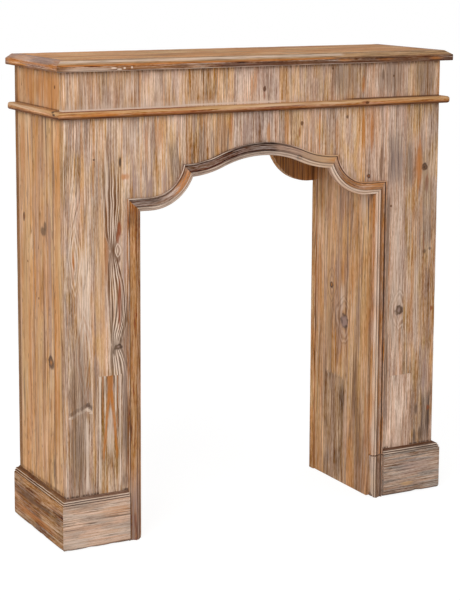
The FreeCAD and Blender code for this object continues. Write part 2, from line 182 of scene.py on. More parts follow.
class Web:
    """A node tree and short words for the nodes that the finishes use."""

    def __init__(self, tree):
        self.tree = tree

    def node(self, kind, inputs=(), **settings):
        made = self.tree.nodes.new(kind)
        for key, value in settings.items():
            setattr(made, key, value)
        for key, value in dict(inputs).items():
            if isinstance(value, Wire):
                self.tree.links.new(value.socket, made.inputs[key])
            else:
                made.inputs[key].default_value = value
        return made

    def wire(self, kind, inputs, output, **settings):
        """One output of a new node."""
        return Wire(self, self.node(kind, inputs, **settings).outputs[output])

    def math(self, operation, *values, clamp=False):
        if any(isinstance(value, tuple) or isinstance(value, Wire) and value.socket.type in ("VECTOR", "RGBA")
               for value in values):
            return self.wire("ShaderNodeVectorMath", enumerate(values), 0, operation=operation)
        return self.wire("ShaderNodeMath", enumerate(values), 0, operation=operation, use_clamp=clamp)

    def most(self, first, *others):
        for other in others:
            first = self.math("MAXIMUM", first, other)
        return first

    def join(self, x, y, z):
        return self.wire("ShaderNodeCombineXYZ", {0: x, 1: y, 2: z}, 0)

    def noise(self, place, detail=2.0, scale=1.0):
        return self.wire("ShaderNodeTexNoise", {"Vector": place, "Scale": scale, "Detail": detail}, "Fac")

    def blend(self, share, under, over):
        return self.wire("ShaderNodeMix", {0: share, 6: under, 7: over}, 2, data_type="RGBA")

    def between(self, share, low, high):
        return self.wire("ShaderNodeMix", {0: share, 2: low, 3: high}, 0, data_type="FLOAT")

    def group(self, tree, **inputs):
        """The outputs of a node group, by name."""
        made = self.node("ShaderNodeGroup", inputs, node_tree=tree)
        return {socket.name: Wire(self, socket) for socket in made.outputs}

    def give(self, **values):
        """Send values out of a node group, and hand over its tree."""
        self.node("NodeGroupOutput", values)
        return self.tree


def new_group(name, gives, vectors="", values="", colours=""):
    """An empty node group with its sockets: its web, and its inputs by name."""
    tree = bpy.data.node_groups.new(name, "ShaderNodeTree")
    for kind, labels in (("Vector", vectors), ("Float", values), ("Color", colours)):
        for label in labels.split():
            tree.interface.new_socket(name=label, in_out="INPUT", socket_type=f"NodeSocket{kind}")
    for label in gives.split():
        kind = "Color" if label == "Color" else "Float"
        tree.interface.new_socket(name=label, in_out="OUTPUT", socket_type=f"NodeSocket{kind}")
    web = Web(tree)
    return web, {socket.name: Wire(web, socket) for socket in web.node("NodeGroupInput").outputs}


DARKEST_GRAIN = (0.01, 0.006, 0.004)
# Drops the depth of a place in a board
ON_FACE = (1, 0, 1)


def make_fir_group():
    """Fir in board coordinates, in millimetres: X across the grain, Y into the board, Z along it.

    Rings are drawn round a leaning pith at Place. Lift raises them, so that they bend round knots. Everything else is
    drawn at Board, which differs from piece to piece."""
    web, given = new_group(
        "limed_fir", "Color Height Streak Fibre", "Board Place Pith Lean",
        "Ring Lift Lines Tinting Warming Washing Greying Grit Shade Coarse Contrast", "Base Tint Late Wash Grime Grey")
    wander = web.noise(given["Board"] * (1 / 60, 1 / 60, 1 / 380)).scaled(12, -6)
    coarse = given["Coarse"]
    across, depth, along = (given["Board"] / web.join(coarse, coarse, coarse ** 0.5)).split()
    across = across + wander

    def strand(width, length, detail=2.0, shift=0.0):
        """Noise drawn out along the grain."""
        return web.noise(web.join(across.scaled(1 / width, shift), depth * (1 / width), along * (1 / length)), detail)

    def threads(width, length, shift, thin):
        """Fine wandering lines, where a drawn-out noise crosses its middle."""
        return abs(strand(width, length, 1, shift) - 0.5).rise(thin, thin * 0.3)

    fibre = strand(1.9, 70)
    speck = strand(1.6, 11, 2, 37.7)
    streak = strand(3.3, 170, 2, 11.3)
    ash = strand(9, 150, 2, 71.1)
    band = strand(14, 230, 1, 5.1)
    haze = strand(30, 110, 2, 17.9)
    swath = strand(70, 260, 1, 23.9)
    patch = strand(20, 70, 2, 61.7).scaled(0.5, strand(60, 130, 2, 47.3) * 0.5)

    ring_x, ring_y, ring_z = given["Place"].split()
    pith_x, pith_y, _ = given["Pith"].split()
    lean_x, lean_y, _ = given["Lean"].split()
    out_x = ring_x + wander - lean_x.scaled(ring_z, pith_x)
    out_y = ring_y - lean_y.scaled(ring_z, pith_y)
    radius = web.join(out_x, out_y, 0.0).length() + given["Lift"]
    uneven = web.noise(web.join(radius * (1 / 17), 0.0, along * (1 / 700)), 1)
    phase = web.math("FRACT", uneven.scaled(9, radius) / given["Ring"])
    seen = haze.rise(0.38, 0.6, 0.15) * given["Lines"]
    late = phase.rise(0.3, 0.85) * phase.rise(1.0, 0.94)
    early = phase.rise(0.0, 0.08) * phase.rise(0.32, 0.16) * seen * streak.rise(0.4, 0.55, 0.2)
    edge = phase.rise(0.7, 0.86) * phase.rise(1.0, 0.94) * seen * streak.rise(0.42, 0.58, 0.1)

    tone = web.blend(patch.rise(0.43, 0.56) * given["Tinting"], given["Base"], given["Tint"])
    warm = band.rise(0.46, 0.6) * given["Warming"]
    tone = web.blend(web.most(warm, late * seen * 0.6), tone, given["Late"])
    lime = streak.scaled(0.65, haze * 0.35).rise(0.47, 0.59, 0.0, 0.85)
    lit = threads(8, 240, 13.7, 0.055) * strand(28, 190, 1, 7.7).rise(0.4, 0.56)
    tone = web.blend(web.most(lime, lit, early).share(given["Washing"]), tone, given["Wash"])
    grey = ash.scaled(0.6, patch * 0.4).rise(0.49, 0.57)
    tone = web.blend(grey.share(given["Greying"]), tone, given["Grey"])
    tone = web.blend(edge * 0.75, tone, given["Grime"])
    crack = threads(7, 330, 83.1, 0.052) * strand(24, 170, 1, 91.7).rise(0.4, 0.58) * fibre.rise(0.35, 0.55, 0.35)
    fleck = strand(1.6, 13, 1, 53.3).rise(0.64, 0.72)
    mark = web.most(crack, fleck * 0.7) * given["Grit"]
    tone = web.blend(mark, tone, given["Grime"])
    grain = speck.scaled(0.55, fibre)
    shade = grain + haze.scaled(0.9, swath.scaled(0.8, -1.625))
    shade = shade.scaled(given["Contrast"], 1.0) * given["Shade"]
    fine = grain.scaled(0.45, -0.35) * given["Contrast"]
    tone = tone * web.join(shade, shade, shade) + web.join(fine, fine, fine)
    return web.give(Color=web.most(tone, DARKEST_GRAIN), Height=late.scaled(0.5, fibre * 0.7) - mark * 0.6,
                    Streak=streak, Fibre=fibre)


def make_knot_group():
    """One knot: a mound that lifts the rings over it, a parting that bends them round it, its body, rim and eye."""
    web, given = new_group("fir_knot", "Mound Part Body Rim Eye", "Board Centre Half Reach")
    away = (given["Board"] - given["Centre"]) * ON_FACE
    wide = away / given["Reach"]
    side, _, over = wide.split()
    rough = web.noise(given["Board"] * (0.16, 0.16, 0.1), 3)
    near = (away / given["Half"]).length() + (rough - 0.5)
    broken = web.noise(given["Board"] * (0.07, 0.07, 0.07), 1)
    return web.give(Mound=(wide.length() ** 2.0).fall(), Part=side * (side ** 2.0 + abs(over)).fall(),
                    Body=near.rise(1.1, 0.7), Eye=near.rise(0.5, 0.2),
                    Rim=near.rise(0.4, 0.8) * near.rise(1.3, 0.9) * broken.rise(0.35, 0.55, 0.3))


def make_stain_group():
    """A stain drawn out along the grain and broken up by it."""
    web, given = new_group("grain_stain", "Mask", "Board Centre Half", "Streak Fibre Whole")
    whole, fibre = given["Whole"], given["Fibre"]
    far = ((given["Board"] - given["Centre"]) * ON_FACE / given["Half"]).length()
    grain = given["Streak"].scaled(1.5, fibre * 0.7)
    reach = 1.0 - far + (1.1 - grain) * (1.3 - whole)
    return web.give(Mask=reach.rise(-0.1, whole.scaled(-0.35, 0.75)) * fibre.rise(0.4, 0.56, whole * 0.8))


def make_fan_group():
    """Lines along the grain that are drawn together at one place: dark ones, with pale ones between them."""
    web, given = new_group("grain_fan", "Dark Pale", "Board Centre",
                           "Slope Narrow Wide Length Reach Count Bulge Bold Fibre")
    side, _, over = (given["Board"] - given["Centre"]).split()
    wander = web.noise(given["Board"] * (1 / 16, 1 / 16, 1 / 60), 1)
    side = wander.scaled(7, side) - given["Slope"].scaled(over, 3.5)
    far = abs(over)
    bow = ((over / given["Length"]) ** 2.0).fall()
    spread = web.between((far / given["Length"]).fall(), given["Wide"], given["Narrow"])
    place = bow.scaled(given["Bulge"], side) / spread
    uneven = web.noise(web.join(place * 0.8, 0.0, over * (1 / 260)), 1)
    place = uneven.scaled(2.2, place - 1.1)
    window = (given["Count"] - abs(place)).rise(0.0, 1.5) * far.rise(given["Reach"], given["Reach"] * 0.5)
    window = window * given["Fibre"].rise(0.35, 0.55, 0.45)

    def lines(shift):
        return (place.off_line(shift) * spread / given["Bold"]).rise(1.8, 0.6) * window
    return web.give(Dark=lines(0.0), Pale=lines(0.5))


def make_eye_group():
    """Nested pointed ovals, as where a saw cuts through a bulge of the rings: dark lines with pale ones between."""
    web, given = new_group("grain_eye", "Dark Pale", "Board Centre Half", "Count Fibre")
    wander = web.noise(given["Board"] * (1 / 22, 1 / 22, 1 / 70), 1)
    side, _, over = ((given["Board"] - given["Centre"]) / given["Half"]).split()
    ring = abs(wander.scaled(0.7, side - 0.35)) + abs(over) ** 2.0
    place = ring * given["Count"]
    window = ring.rise(1.1, 0.75) * given["Fibre"].rise(0.35, 0.55, 0.4)
    return web.give(Dark=place.off_line(0.0).rise(0.24, 0.08) * window,
                    Pale=place.off_line(0.5).rise(0.24, 0.08) * window)


GROUPS = {}


def shared(name):
    """The shared node groups, made on first use."""
    makers = {"fir": make_fir_group, "knot": make_knot_group, "stain": make_stain_group, "fan": make_fan_group,
              "eye": make_eye_group}
    if name not in GROUPS:
        GROUPS[name] = makers[name]()
    return GROUPS[name]


# A knot parts the grain, a swell lifts it into nested loops, a fan draws lines together
Knot = namedtuple("Knot", "across along half_width half_length part reach_width reach_length heart body",
                  defaults=(13.0, 15.0, 40.0, "rust", "umber"))
Swell = namedtuple("Swell", "across along lift reach_width reach_length")
Fan = namedtuple("Fan", "across along slope narrow wide length reach count dark pale ink light bulge bold", defaults=(
    0.9, 0.6, "umber", "chalk", 0.0, 1.0))
Eye = namedtuple("Eye", "across along half_width half_length count dark pale ink light", defaults=(
    0.6, 0.7, "bark", "chalk"))
Stain = namedtuple("Stain", "across along half_width half_length colour strength whole", defaults=(None,))
Line = namedtuple("Line", "across low high half_width colour strength")
Band = namedtuple("Band", "along low high half_length colour strength")

# How a board is cut and finished. pith and lean place the rings, in millimetres and as slopes.
Look = namedtuple("Look", "pith lean ring lines base tint late wash grime grey tinting warming washing greying "
                  "grit shade coarse contrast features splice",
                  defaults=((500.0, 60.0), (0.0, 0.0), 5.0, 0.6, "honey", "blush", "amber", "chalk", "bark",
                            "mauve", 0.8, 0.5, 0.6, 0.3, 0.6, 1.0, 1.0, 1.0, (), None))
# Where a board changes to another below a scarf, and how that one looks
Splice = namedtuple("Splice", "along low high look ragged", defaults=(6.0,))

# Which axes of the part run across, into and along a board
UPRIGHT_FRONT, UPRIGHT_SIDE, FLAT_SHELF, BAND_FRONT, BAND_SIDE = (0, 1, 2), (1, 0, 2), (1, 2, 0), (2, 1, 0), (2, 0, 1)

# How far apart the grain of two boards is drawn, and that of a frieze and a spliced block from the rest of their board
BOARD_STEP, SPLICE_STEP, FRIEZE_STEP, FRIEZE_ASIDE = 3171.0, 771.0, 1300.0, 37.0
FRIEZE_FOOT, OTHER_LEG_DROP, SPLICE_EDGE = 891.0, 143.0, 0.6
# Full core of a line and a band as a share of their width, and over what length their ends fade
LINE_CORE, LINE_FADE, BAND_CORE, BAND_FADE = 0.4, 20, 0.15, 40
SMALL_KNOT, SMALL_STAIN, THIN_BAND, WHOLE_IF_SMALL, WHOLE_IF_LARGE = 4.5, 5.5, 4, 0.65, 0.3
# How strongly a knot's body, rim and eye show, and how deep its rim is
KNOT_BODY, KNOT_RIM, KNOT_EYE, KNOT_GROOVE = 0.85, 0.75, 0.7, 0.8
BRUSHED_STRENGTH, BRUSHED_DEPTH, FIR_GLOSS = 0.35, 0.0007, 0.1


def board_coords(web, axes, seed, broken):
    """Object coordinates in millimetres, turned so that the grain runs along Z, and moved for another board.

    broken gives the frieze a grain of its own, above the astragal."""
    parts = (web.wire("ShaderNodeTexCoord", (), "Object") * (PER_M, PER_M, PER_M)).split()
    board = web.join(*[parts[axis] for axis in axes])
    drawn = board + (0.0, 0.0, BOARD_STEP * seed)
    if broken:
        frieze = web.math("GREATER_THAN", parts[2], FRIEZE_FOOT)
        drawn = drawn + web.join(frieze * FRIEZE_ASIDE, 0.0, frieze * FRIEZE_STEP)
    return board, drawn


def mark_at(web, name, item, board, **inputs):
    """A shared group, set at a feature's place on its board and to its size."""
    for label in ("half", "reach"):
        if hasattr(item, f"{label}_width"):
            inputs[label.title()] = getattr(item, f"{label}_width"), 1, getattr(item, f"{label}_length")
    return web.group(shared(name), Board=board, Centre=(item.across, 0, item.along), **inputs)


def named_inputs(item, names):
    """Fields of a feature or a look, for the sockets of the same names."""
    return {name.title(): getattr(item, name) for name in names.split()}


def strip(off, half, core, along, item, fade):
    """A strip on both sides of a line, full in its core and fading in and out along the line."""
    span = along.rise(item.low, item.low + fade) * along.rise(item.high, item.high - fade)
    return abs(off).rise(half, half * core) * span


def layers(web, item, board, fir):
    """What a feature paints over its board, as masks and colours in order."""
    fibre, streak = fir["Fibre"], fir["Streak"]
    if isinstance(item, (Fan, Eye)):
        if isinstance(item, Fan):
            out = mark_at(web, "fan", item, board, Fibre=fibre, **named_inputs(
                item, "slope narrow wide length reach count bulge bold"))
        else:
            out = mark_at(web, "eye", item, board, Fibre=fibre, Count=item.count)
        return (out["Pale"] * item.pale, item.light), (out["Dark"] * item.dark, item.ink)
    if isinstance(item, Stain):
        whole = item.whole or (WHOLE_IF_SMALL if item.half_width < SMALL_STAIN else WHOLE_IF_LARGE)
        mask = mark_at(web, "stain", item, board, Streak=streak, Fibre=fibre, Whole=whole)["Mask"]
    elif isinstance(item, Line):
        x, _, z = board.split()
        mask = strip(x - item.across, item.half_width, LINE_CORE, z, item, LINE_FADE) * fibre.rise(0.35, 0.55, 0.4)
    elif isinstance(item, Band):
        x, _, z = board.split()
        mask = strip(z - item.along, item.half_length, BAND_CORE, x, item, BAND_FADE)
        if item.half_length > THIN_BAND:
            mask = mask * streak.rise(0.4, 0.6, 0.25)
    else:
        return ()
    return (mask * item.strength, item.colour),


def fir_nodes(web, look, board, drawn, washed=1.0):
    """The colour, height and grain of one board. washed tells the show face from the others."""
    lift, knots = 0.0, []
    for item in look.features:
        if isinstance(item, Swell):
            lift = mark_at(web, "knot", item, board)["Mound"].scaled(item.lift, lift)
        elif isinstance(item, Knot):
            out = mark_at(web, "knot", item, board)
            knots.append((item, out))
            lift = out["Part"].scaled(-item.part, lift)
    hues = {label: colour(name) for label, name in named_inputs(look, "base tint late wash grime grey").items()}
    fir = web.group(shared("fir"), Board=drawn, Place=board, Pith=(*look.pith, 0), Lean=(*look.lean, 0), Lift=lift,
                    Washing=washed * look.washing, Greying=washed * look.greying, **hues,
                    **named_inputs(look, "ring lines tinting warming grit shade coarse contrast"))
    tone, height = fir["Color"], fir["Height"]
    for item in look.features:
        for mask, name in layers(web, item, board, fir):
            tone = web.blend(mask, tone, colour(name))
    for item, out in knots:
        tone = web.blend(out["Body"] * KNOT_BODY, tone, colour(item.body))
        if item.half_width > SMALL_KNOT:
            tone = web.blend(out["Rim"] * KNOT_RIM, tone, colour("soot"))
            tone = web.blend(out["Eye"] * KNOT_EYE, tone, colour(item.heart))
        height = height - out["Rim"] * KNOT_GROOVE
    if look.splice:
        x, _, z = board.split()
        along, low, high, look_below, ragged = look.splice
        tone_below, height_below, _ = fir_nodes(web, look_below, board, drawn + (0.0, 0.0, SPLICE_STEP))
        below = web.math("LESS_THAN", fir["Fibre"].scaled(ragged, z), along + ragged / 2)
        mask = below * (x.rise(low - SPLICE_EDGE, low + SPLICE_EDGE) * x.rise(high + SPLICE_EDGE, high - SPLICE_EDGE))
        tone = web.blend(mask, tone, tone_below)
        height = web.between(mask, height, height_below)
    return tone, height, fir


def empty_web(holder):
    """The web of a material or world, cleared of its first nodes."""
    holder.use_nodes = True
    holder.node_tree.nodes.clear()
    return Web(holder.node_tree)


def blank_material(name):
    """A new material and its empty web."""
    made = bpy.data.materials.new(name)
    return made, empty_web(made)


def brushed_fir(name, web_of):
    """A material whose colour, height and grain come from a function of its web."""
    made, web = blank_material(name)
    tone, height, fir = web_of(web)
    bump = web.wire("ShaderNodeBump", {"Strength": BRUSHED_STRENGTH, "Distance": BRUSHED_DEPTH, "Height": height}, 0)
    shader = web.wire("ShaderNodeBsdfPrincipled", {
        "Base Color": tone, "Roughness": fir["Fibre"].rise(0.2, 0.8, 0.62, 0.86), "Specular IOR Level": FIR_GLOSS,
        "Normal": bump}, 0)
    web.node("ShaderNodeOutputMaterial", {"Surface": shader})
    made.diffuse_color = colour("honey")
    return made


def show_face(web):
    """1 on faces turned to the front, 0.15 elsewhere."""
    _, turned, _ = web.wire("ShaderNodeNewGeometry", (), "Normal").split()
    return turned.rise(-0.3, -0.8, 0.15)


def worn_edges(web, tone, fir):
    """Rubbed edges: bare pale wood with dirt between."""
    worn = web.wire("ShaderNodeAttribute", (), "Fac", attribute_name="worn")
    tone = web.blend(worn * fir["Streak"].rise(0.45, 0.6, 0.0, 0.6), tone, colour("chalk"))
    return web.blend(worn * fir["Fibre"].rise(0.5, 0.38, 0.0, 0.6), tone, colour("umber"))


def wood(name, look, axes, seed, inside=None):
    """The material of one board. inside colours its front face, where that looks into the opening: a darker streaked
    tone, partly the face's own colour and partly painted shade.
    """
    def web_of(web):
        board, drawn = board_coords(web, axes, seed, axes[2] == 2 and not inside)
        washed = show_face(web) if axes == UPRIGHT_FRONT else 1.0
        tone, height, fir = fir_nodes(web, look, board, drawn, washed)
        if inside:
            # The inner face gets a darker umber-streaked tone, partly its own colour and partly painted shade.
            varnish = web.blend(fir["Streak"].rise(0.4, 0.56), colour("umber"), colour(inside))
            tone = web.blend(washed.rise(0.4, 1.0, 0.0, 0.8), tone, varnish)
        return worn_edges(web, tone, fir), height, fir
    return brushed_fir(name, web_of)


def moulding_wood(name, look, beads, rim, seed):
    """The material of one length of moulding: grain along it, painted shade in the grooves, pale beads."""
    def web_of(web):
        run = web.wire("ShaderNodeAttribute", (), "Vector", attribute_name="run")
        tone, height, fir = fir_nodes(web, look, run, run + (0.0, 0.0, BOARD_STEP * seed))
        out, proud, _ = run.split()
        bead = out.rise(10.6, 9.6) * proud.rise(0.5, 3.0)
        pale = bead.share(fir["Fibre"].rise(0.35, 0.6, 0.5 * beads, 1.2 * beads))
        tone = web.blend(pale, tone, colour("chalk"))
        arris = out.rise(24.7, 25.3) * proud.rise(4.5, 6.0)
        arris = arris.share(fir["Fibre"].rise(0.4, 0.6, 0.1 * rim, 1.3 * rim))
        tone = web.blend(arris, tone, colour("chalk"))
        # Painted shade in the grooves: the quirk, the step and the split between the beads.
        quirk = out.rise(22.2, 23.8) * out.rise(25.0, 24.6)
        step = out.rise(9.2, 9.8) * out.rise(10.8, 10.2)
        split = out.rise(4.0, 4.8) * out.rise(5.6, 4.9)
        groove_shade = web.most(quirk, step * 0.8, split * 0.6)
        return web.blend(groove_shade * 0.85, tone, colour("soot")), height, fir
    return brushed_fir(name, web_of)


# Meshes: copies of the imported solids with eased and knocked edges
WELD, FLAT_ANGLE, FREE_ANGLE, JOINT_ANGLE, CREASE_ANGLE = 1e-6, 1, 50, 60, 38
NEIGHBOUR_REACH = 0.0006
# Knocks and finer chips along a worn edge: how close they lie, and the chips' share of the depth
KNOCK_RATE, CHIP_RATE, CHIP_SHARE = 38, 160, 0.12
SOLIDS = {}


def solid_trees():
    """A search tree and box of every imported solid, made once."""
    if not SOLIDS:
        for name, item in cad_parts.items():
            mesh = item.data
            tree = BVHTree.FromPolygons([v.co for v in mesh.vertices], [p.vertices for p in mesh.polygons])
            SOLIDS[name] = tree, *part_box(name)
    return SOLIDS


def inside_another(point, own):
    """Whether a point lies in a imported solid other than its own."""
    for name, (tree, low, high) in solid_trees().items():
        if name == own or any(point[i] < low[i] or point[i] > high[i] for i in range(3)):
            continue
        spot, normal, _, _ = tree.find_nearest(point)
        if (point - spot).dot(normal) < 0:
            return True
    return False


def stands_free(edge, own):
    """Whether no neighbour butts against either face beside an edge."""
    middle = (edge.verts[0].co + edge.verts[1].co) / 2
    first, second = [face.normal for face in edge.link_faces]
    return not (inside_another(middle + (first - second) * NEIGHBOUR_REACH, own)
                or inside_another(middle + (second - first) * NEIGHBOUR_REACH, own))


def is_sharp(edge, degrees):
    return len(edge.link_faces) == 2 and edge.calc_face_angle_signed(0) > math.radians(degrees)


def bevel(mesh, edges, width, segments):
    if not edges:
        return []
    made = bmesh.ops.bevel(mesh, geom=edges, offset=width, offset_type="OFFSET", segments=segments,
                           profile=0.5, affect="EDGES", material=-1, clamp_overlap=True)
    return made["faces"]


def cut(mesh, spot, normal, weld, clear=False):
    """Cut a mesh with a plane, and clear the side the normal points to if wanted."""
    bmesh.ops.bisect_plane(mesh, geom=mesh.verts[:] + mesh.edges[:] + mesh.faces[:], dist=weld, plane_co=spot,
                           plane_no=normal, clear_outer=clear)


def cross_cuts(mesh, axis, pitch):
    """Cut a mesh across one axis at even steps."""
    places = [v.co[axis] for v in mesh.verts]
    low, high = min(places), max(places)
    normal = Vector([float(i == axis) for i in range(3)])
    count = int((high - low) / pitch)
    for number in range(1, count):
        cut(mesh, normal * (low + (high - low) * number / count), normal, WELD)


def bite_at(x, y, z):
    """How deep wear bites at a place, from none to all."""
    return max(0.0, noise.noise(Vector((x, y, z))))


def knock(mesh, worn, seed):
    """Push worn edges in by uneven amounts."""
    depth = sizes().wear
    corners = {v for face in mesh.faces if face[worn] for v in face.verts}
    for corner in sorted(corners, key=lambda v: v.index):
        spot = corner.co * KNOCK_RATE + Vector((seed, 0, 0))
        chip = corner.co * CHIP_RATE + Vector((0, seed, 0))
        bite = bite_at(*spot) ** 1.5 + CHIP_SHARE * bite_at(*chip)
        corner.co -= corner.normal * depth * bite


def keep_in_box(mesh, node):
    """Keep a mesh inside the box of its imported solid."""
    low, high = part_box(node)
    for corner in mesh.verts:
        corner.co = [min(max(place, least), most) for place, least, most in zip(corner.co, low, high)]


def worn_copy(node, along, seed):
    """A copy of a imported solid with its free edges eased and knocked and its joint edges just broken."""
    mesh = bmesh.new()
    mesh.from_mesh(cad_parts[node].data)
    bmesh.ops.remove_doubles(mesh, verts=mesh.verts, dist=WELD)
    bmesh.ops.dissolve_limit(mesh, angle_limit=math.radians(FLAT_ANGLE), verts=mesh.verts, edges=mesh.edges)
    mesh.normal_update()
    worn = mesh.faces.layers.int.new("worn")
    free = [edge for edge in mesh.edges if is_sharp(edge, FREE_ANGLE) and stands_free(edge, node)]
    for face in bevel(mesh, free, sizes().ease, 2):
        face[worn] = 1
    mesh.normal_update()
    bevel(mesh, [edge for edge in mesh.edges if is_sharp(edge, JOINT_ANGLE)], sizes().hairline, 1)
    cross_cuts(mesh, along, sizes().wear_pitch)
    mesh.normal_update()
    mesh.verts.index_update()
    knock(mesh, worn, seed)
    keep_in_box(mesh, node)
    return to_object(f"{node}_finished", mesh)


def to_object(name, mesh):
    data = bpy.data.meshes.new(name)
    mesh.to_mesh(data)
    mesh.free()
    item = bpy.data.objects.new(name, data)
    bpy.context.scene.collection.objects.link(item)
    return item


def dress(item, node, material):
    """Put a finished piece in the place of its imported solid."""
    item.data.materials.append(material)
    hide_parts(node)
    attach(item, "root")


def dress_board(node, slot, look, axes, seed, inside=None):
    dress(worn_copy(node, axes[2], seed), node, wood(f"{node}_{slot}", look, axes, seed, inside))


# Runs of moulding and plinth, drawn in millimetres and brought to metres
DRAWN_WELD, CUT_WELD, STEP_LENGTH = 0.01, 1e-4, 5.0


class Pen:
    """Draws a section. X is the distance outside the opening or behind the face, -Y the height."""

    def __init__(self, mesh, out, proud):
        self.mesh = mesh
        self.first = self.tip = mesh.verts.new((out, -proud, 0))

    def line(self, *points):
        for out, proud in points:
            self.tip = bmesh.ops.extrude_vert_indiv(self.mesh, verts=[self.tip])["verts"][0]
            self.tip.co = (out, -proud, 0)

    def arc(self, out, proud, degrees, steps):
        """Carry the tip round a centre, clockwise as seen from the end."""
        made = bmesh.ops.spin(self.mesh, geom=[self.tip], cent=(out, -proud, 0), axis=(0, 0, 1),
                              angle=math.radians(degrees), steps=steps)
        self.tip = [item for item in made["geom_last"] if isinstance(item, bmesh.types.BMVert)][0]

    def close(self):
        """Close the section, and hand over its corners and edges."""
        self.mesh.edges.new((self.tip, self.first))
        return self.mesh.verts[:], self.mesh.edges[:]


def sweep_arc(mesh, ends, centre, degrees, radius):
    """Carry the section's open end round a centre in the front plane."""
    steps = max(2, round(abs(math.radians(degrees)) * radius / STEP_LENGTH))
    made = bmesh.ops.spin(mesh, geom=ends, cent=centre, axis=(0, 1, 0), angle=math.radians(degrees), steps=steps)
    return made["geom_last"]


def sweep_line(mesh, edges, way, length):
    """Carry the section's open end along a straight."""
    steps = max(2, round(length / STEP_LENGTH))
    for _ in range(steps):
        made = bmesh.ops.extrude_edge_only(mesh, edges=edges)["geom"]
        moved = [item for item in made if isinstance(item, bmesh.types.BMVert)]
        bmesh.ops.translate(mesh, verts=moved, vec=way * (length / steps))
        edges = [item for item in made if isinstance(item, bmesh.types.BMEdge)
                 and all(corner in moved for corner in item.verts)]
    return moved + edges


def close_shell(mesh):
    """Weld a swept run, close its ends and turn its faces outwards."""
    bmesh.ops.remove_doubles(mesh, verts=mesh.verts, dist=DRAWN_WELD)
    bmesh.ops.holes_fill(mesh, edges=[edge for edge in mesh.edges if edge.is_boundary], sides=0)
    bmesh.ops.recalc_face_normals(mesh, faces=mesh.faces)
    mesh.normal_update()


def to_metres(mesh, mirrored):
    """Bring a run to metres, and to the other side if wanted."""
    if mirrored:
        bmesh.ops.scale(mesh, vec=(-1, 1, 1), verts=mesh.verts)
        bmesh.ops.recalc_face_normals(mesh, faces=mesh.faces)
    bmesh.ops.scale(mesh, vec=(MM, MM, MM), verts=mesh.verts)


def smooth_object(node, mesh):
    item = to_object(f"{node}_finished", mesh)
    item.data.shade_smooth()
    item.data.set_sharp_from_angle(angle=math.radians(CREASE_ANGLE))
    return item


# The arch moulding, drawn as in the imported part: centres, radii and joints in millimetres
OPENING_HALF, SHOULDER, FACE = 285.0, 691.0, -120.0
CROWN, CROWN_RADIUS, CROWN_TURN = Vector((0, 0, 550.5)), 240.0, 23.0
FLARE_RADIUS, LOBE, LOBE_RADIUS = 217.0, Vector((261, 0, 795)), 104.0
STRIP_WIDTH, FOOT_TOP, JAMB_FOOT = 27.0, 96.4, 99.6
INNER_CUSP, OUTER_CUSP = Vector((165.2, 0, 754.5)), Vector((185.2, 0, 781.3))
CORNER = Vector((OPENING_HALF, 0, SHOULDER))
FAR_CORNER = CORNER + Vector((STRIP_WIDTH, 0, STRIP_WIDTH))
SPARE_TURN = 12.0
FOOT_ROUNDING = ((3.0, 12.0), (6.0, 6.0), (12.0, 3.0))
# Its section: distance outside the opening and height above the panel. A bead also has its turn and its sides.
LIP, LIP_DEPTH, LIP_TOP = 8, 7, 5.0
FIRST_BEAD, VALLEY, SECOND_BEAD = (2.4, 5.0, 150, 6), (4.9, 7.2), (7.1, 7.4, 160, 6)
STEP_FOOT, COVE_TOP, COVE_DROP, COVE_SAG = (9.9, 6.6), (10.6, 10), (13.4, 6.6), 7.2
COVE_SHARES = 0.12, 0.26, 0.42, 0.58, 0.74, 0.88
QUIRK_AND_FILLET = (24, 3.4), (24.6, 2.2), (24.9, 6.2), (STRIP_WIDTH, 6.2), (STRIP_WIDTH, 0), (LIP, 0)
# Where the moulding is rubbed: its arrises, how near to them, how high above the panel, and how deep
ARRISES, ARRIS_REACH, ARRIS_LEAST, ARRIS_WEAR = (26, 10.5), 1.3, 5, 1.3
RUB_LENGTH, RUB_WIDTH = 22, 9


def toward(degrees):
    """Unit vector in the front plane, turned from straight up towards +X."""
    return Vector((math.sin(math.radians(degrees)), 0, math.cos(math.radians(degrees))))


def heading(centre, point):
    return math.degrees(math.atan2(point.x - centre.x, point.z - centre.z)) % 360


FLARE = CROWN + toward(CROWN_TURN) * (CROWN_RADIUS + FLARE_RADIUS)


def draw_section(mesh, spot, outward):
    """Two beads at the opening, a cove, a quirk and a flat outer fillet, set at a place on the opening's line."""
    pen = Pen(mesh, LIP, -LIP_DEPTH)
    pen.line((0, -LIP_DEPTH), (0, LIP_TOP))
    pen.arc(*FIRST_BEAD)
    pen.line(VALLEY)
    pen.arc(*SECOND_BEAD)
    pen.line(STEP_FOOT, COVE_TOP)
    for share in COVE_SHARES:
        pen.line((COVE_TOP[0] + COVE_DROP[0] * share,
                  COVE_TOP[1] - COVE_DROP[1] * share - COVE_SAG * share * (1 - share)))
    pen.line(*QUIRK_AND_FILLET)
    verts, edges = pen.close()
    for corner in verts:
        out, behind, _ = corner.co
        reach = spot + outward * out
        corner.co = (reach.x, FACE + behind, reach.z)
    return verts, edges


def mitre(mesh, here, there, keep):
    """Cut a mesh through two points of the front plane and keep the side that holds a third."""
    way = there - here
    normal = Vector((way.z, 0, -way.x)).normalized()
    if normal.dot(keep - here) > 0:
        normal = -normal
    cut(mesh, here, normal, CUT_WELD, clear=True)


def arch_strip(mesh):
    verts, edges = draw_section(mesh, CROWN + toward(0) * CROWN_RADIUS, toward(0))
    ends = sweep_arc(mesh, verts + edges, CROWN, CROWN_TURN, CROWN_RADIUS)
    turn = heading(FLARE, OUTER_CUSP) - SPARE_TURN - 180 - CROWN_TURN
    sweep_arc(mesh, ends, FLARE, turn, FLARE_RADIUS)
    mitre(mesh, INNER_CUSP, OUTER_CUSP, CROWN)


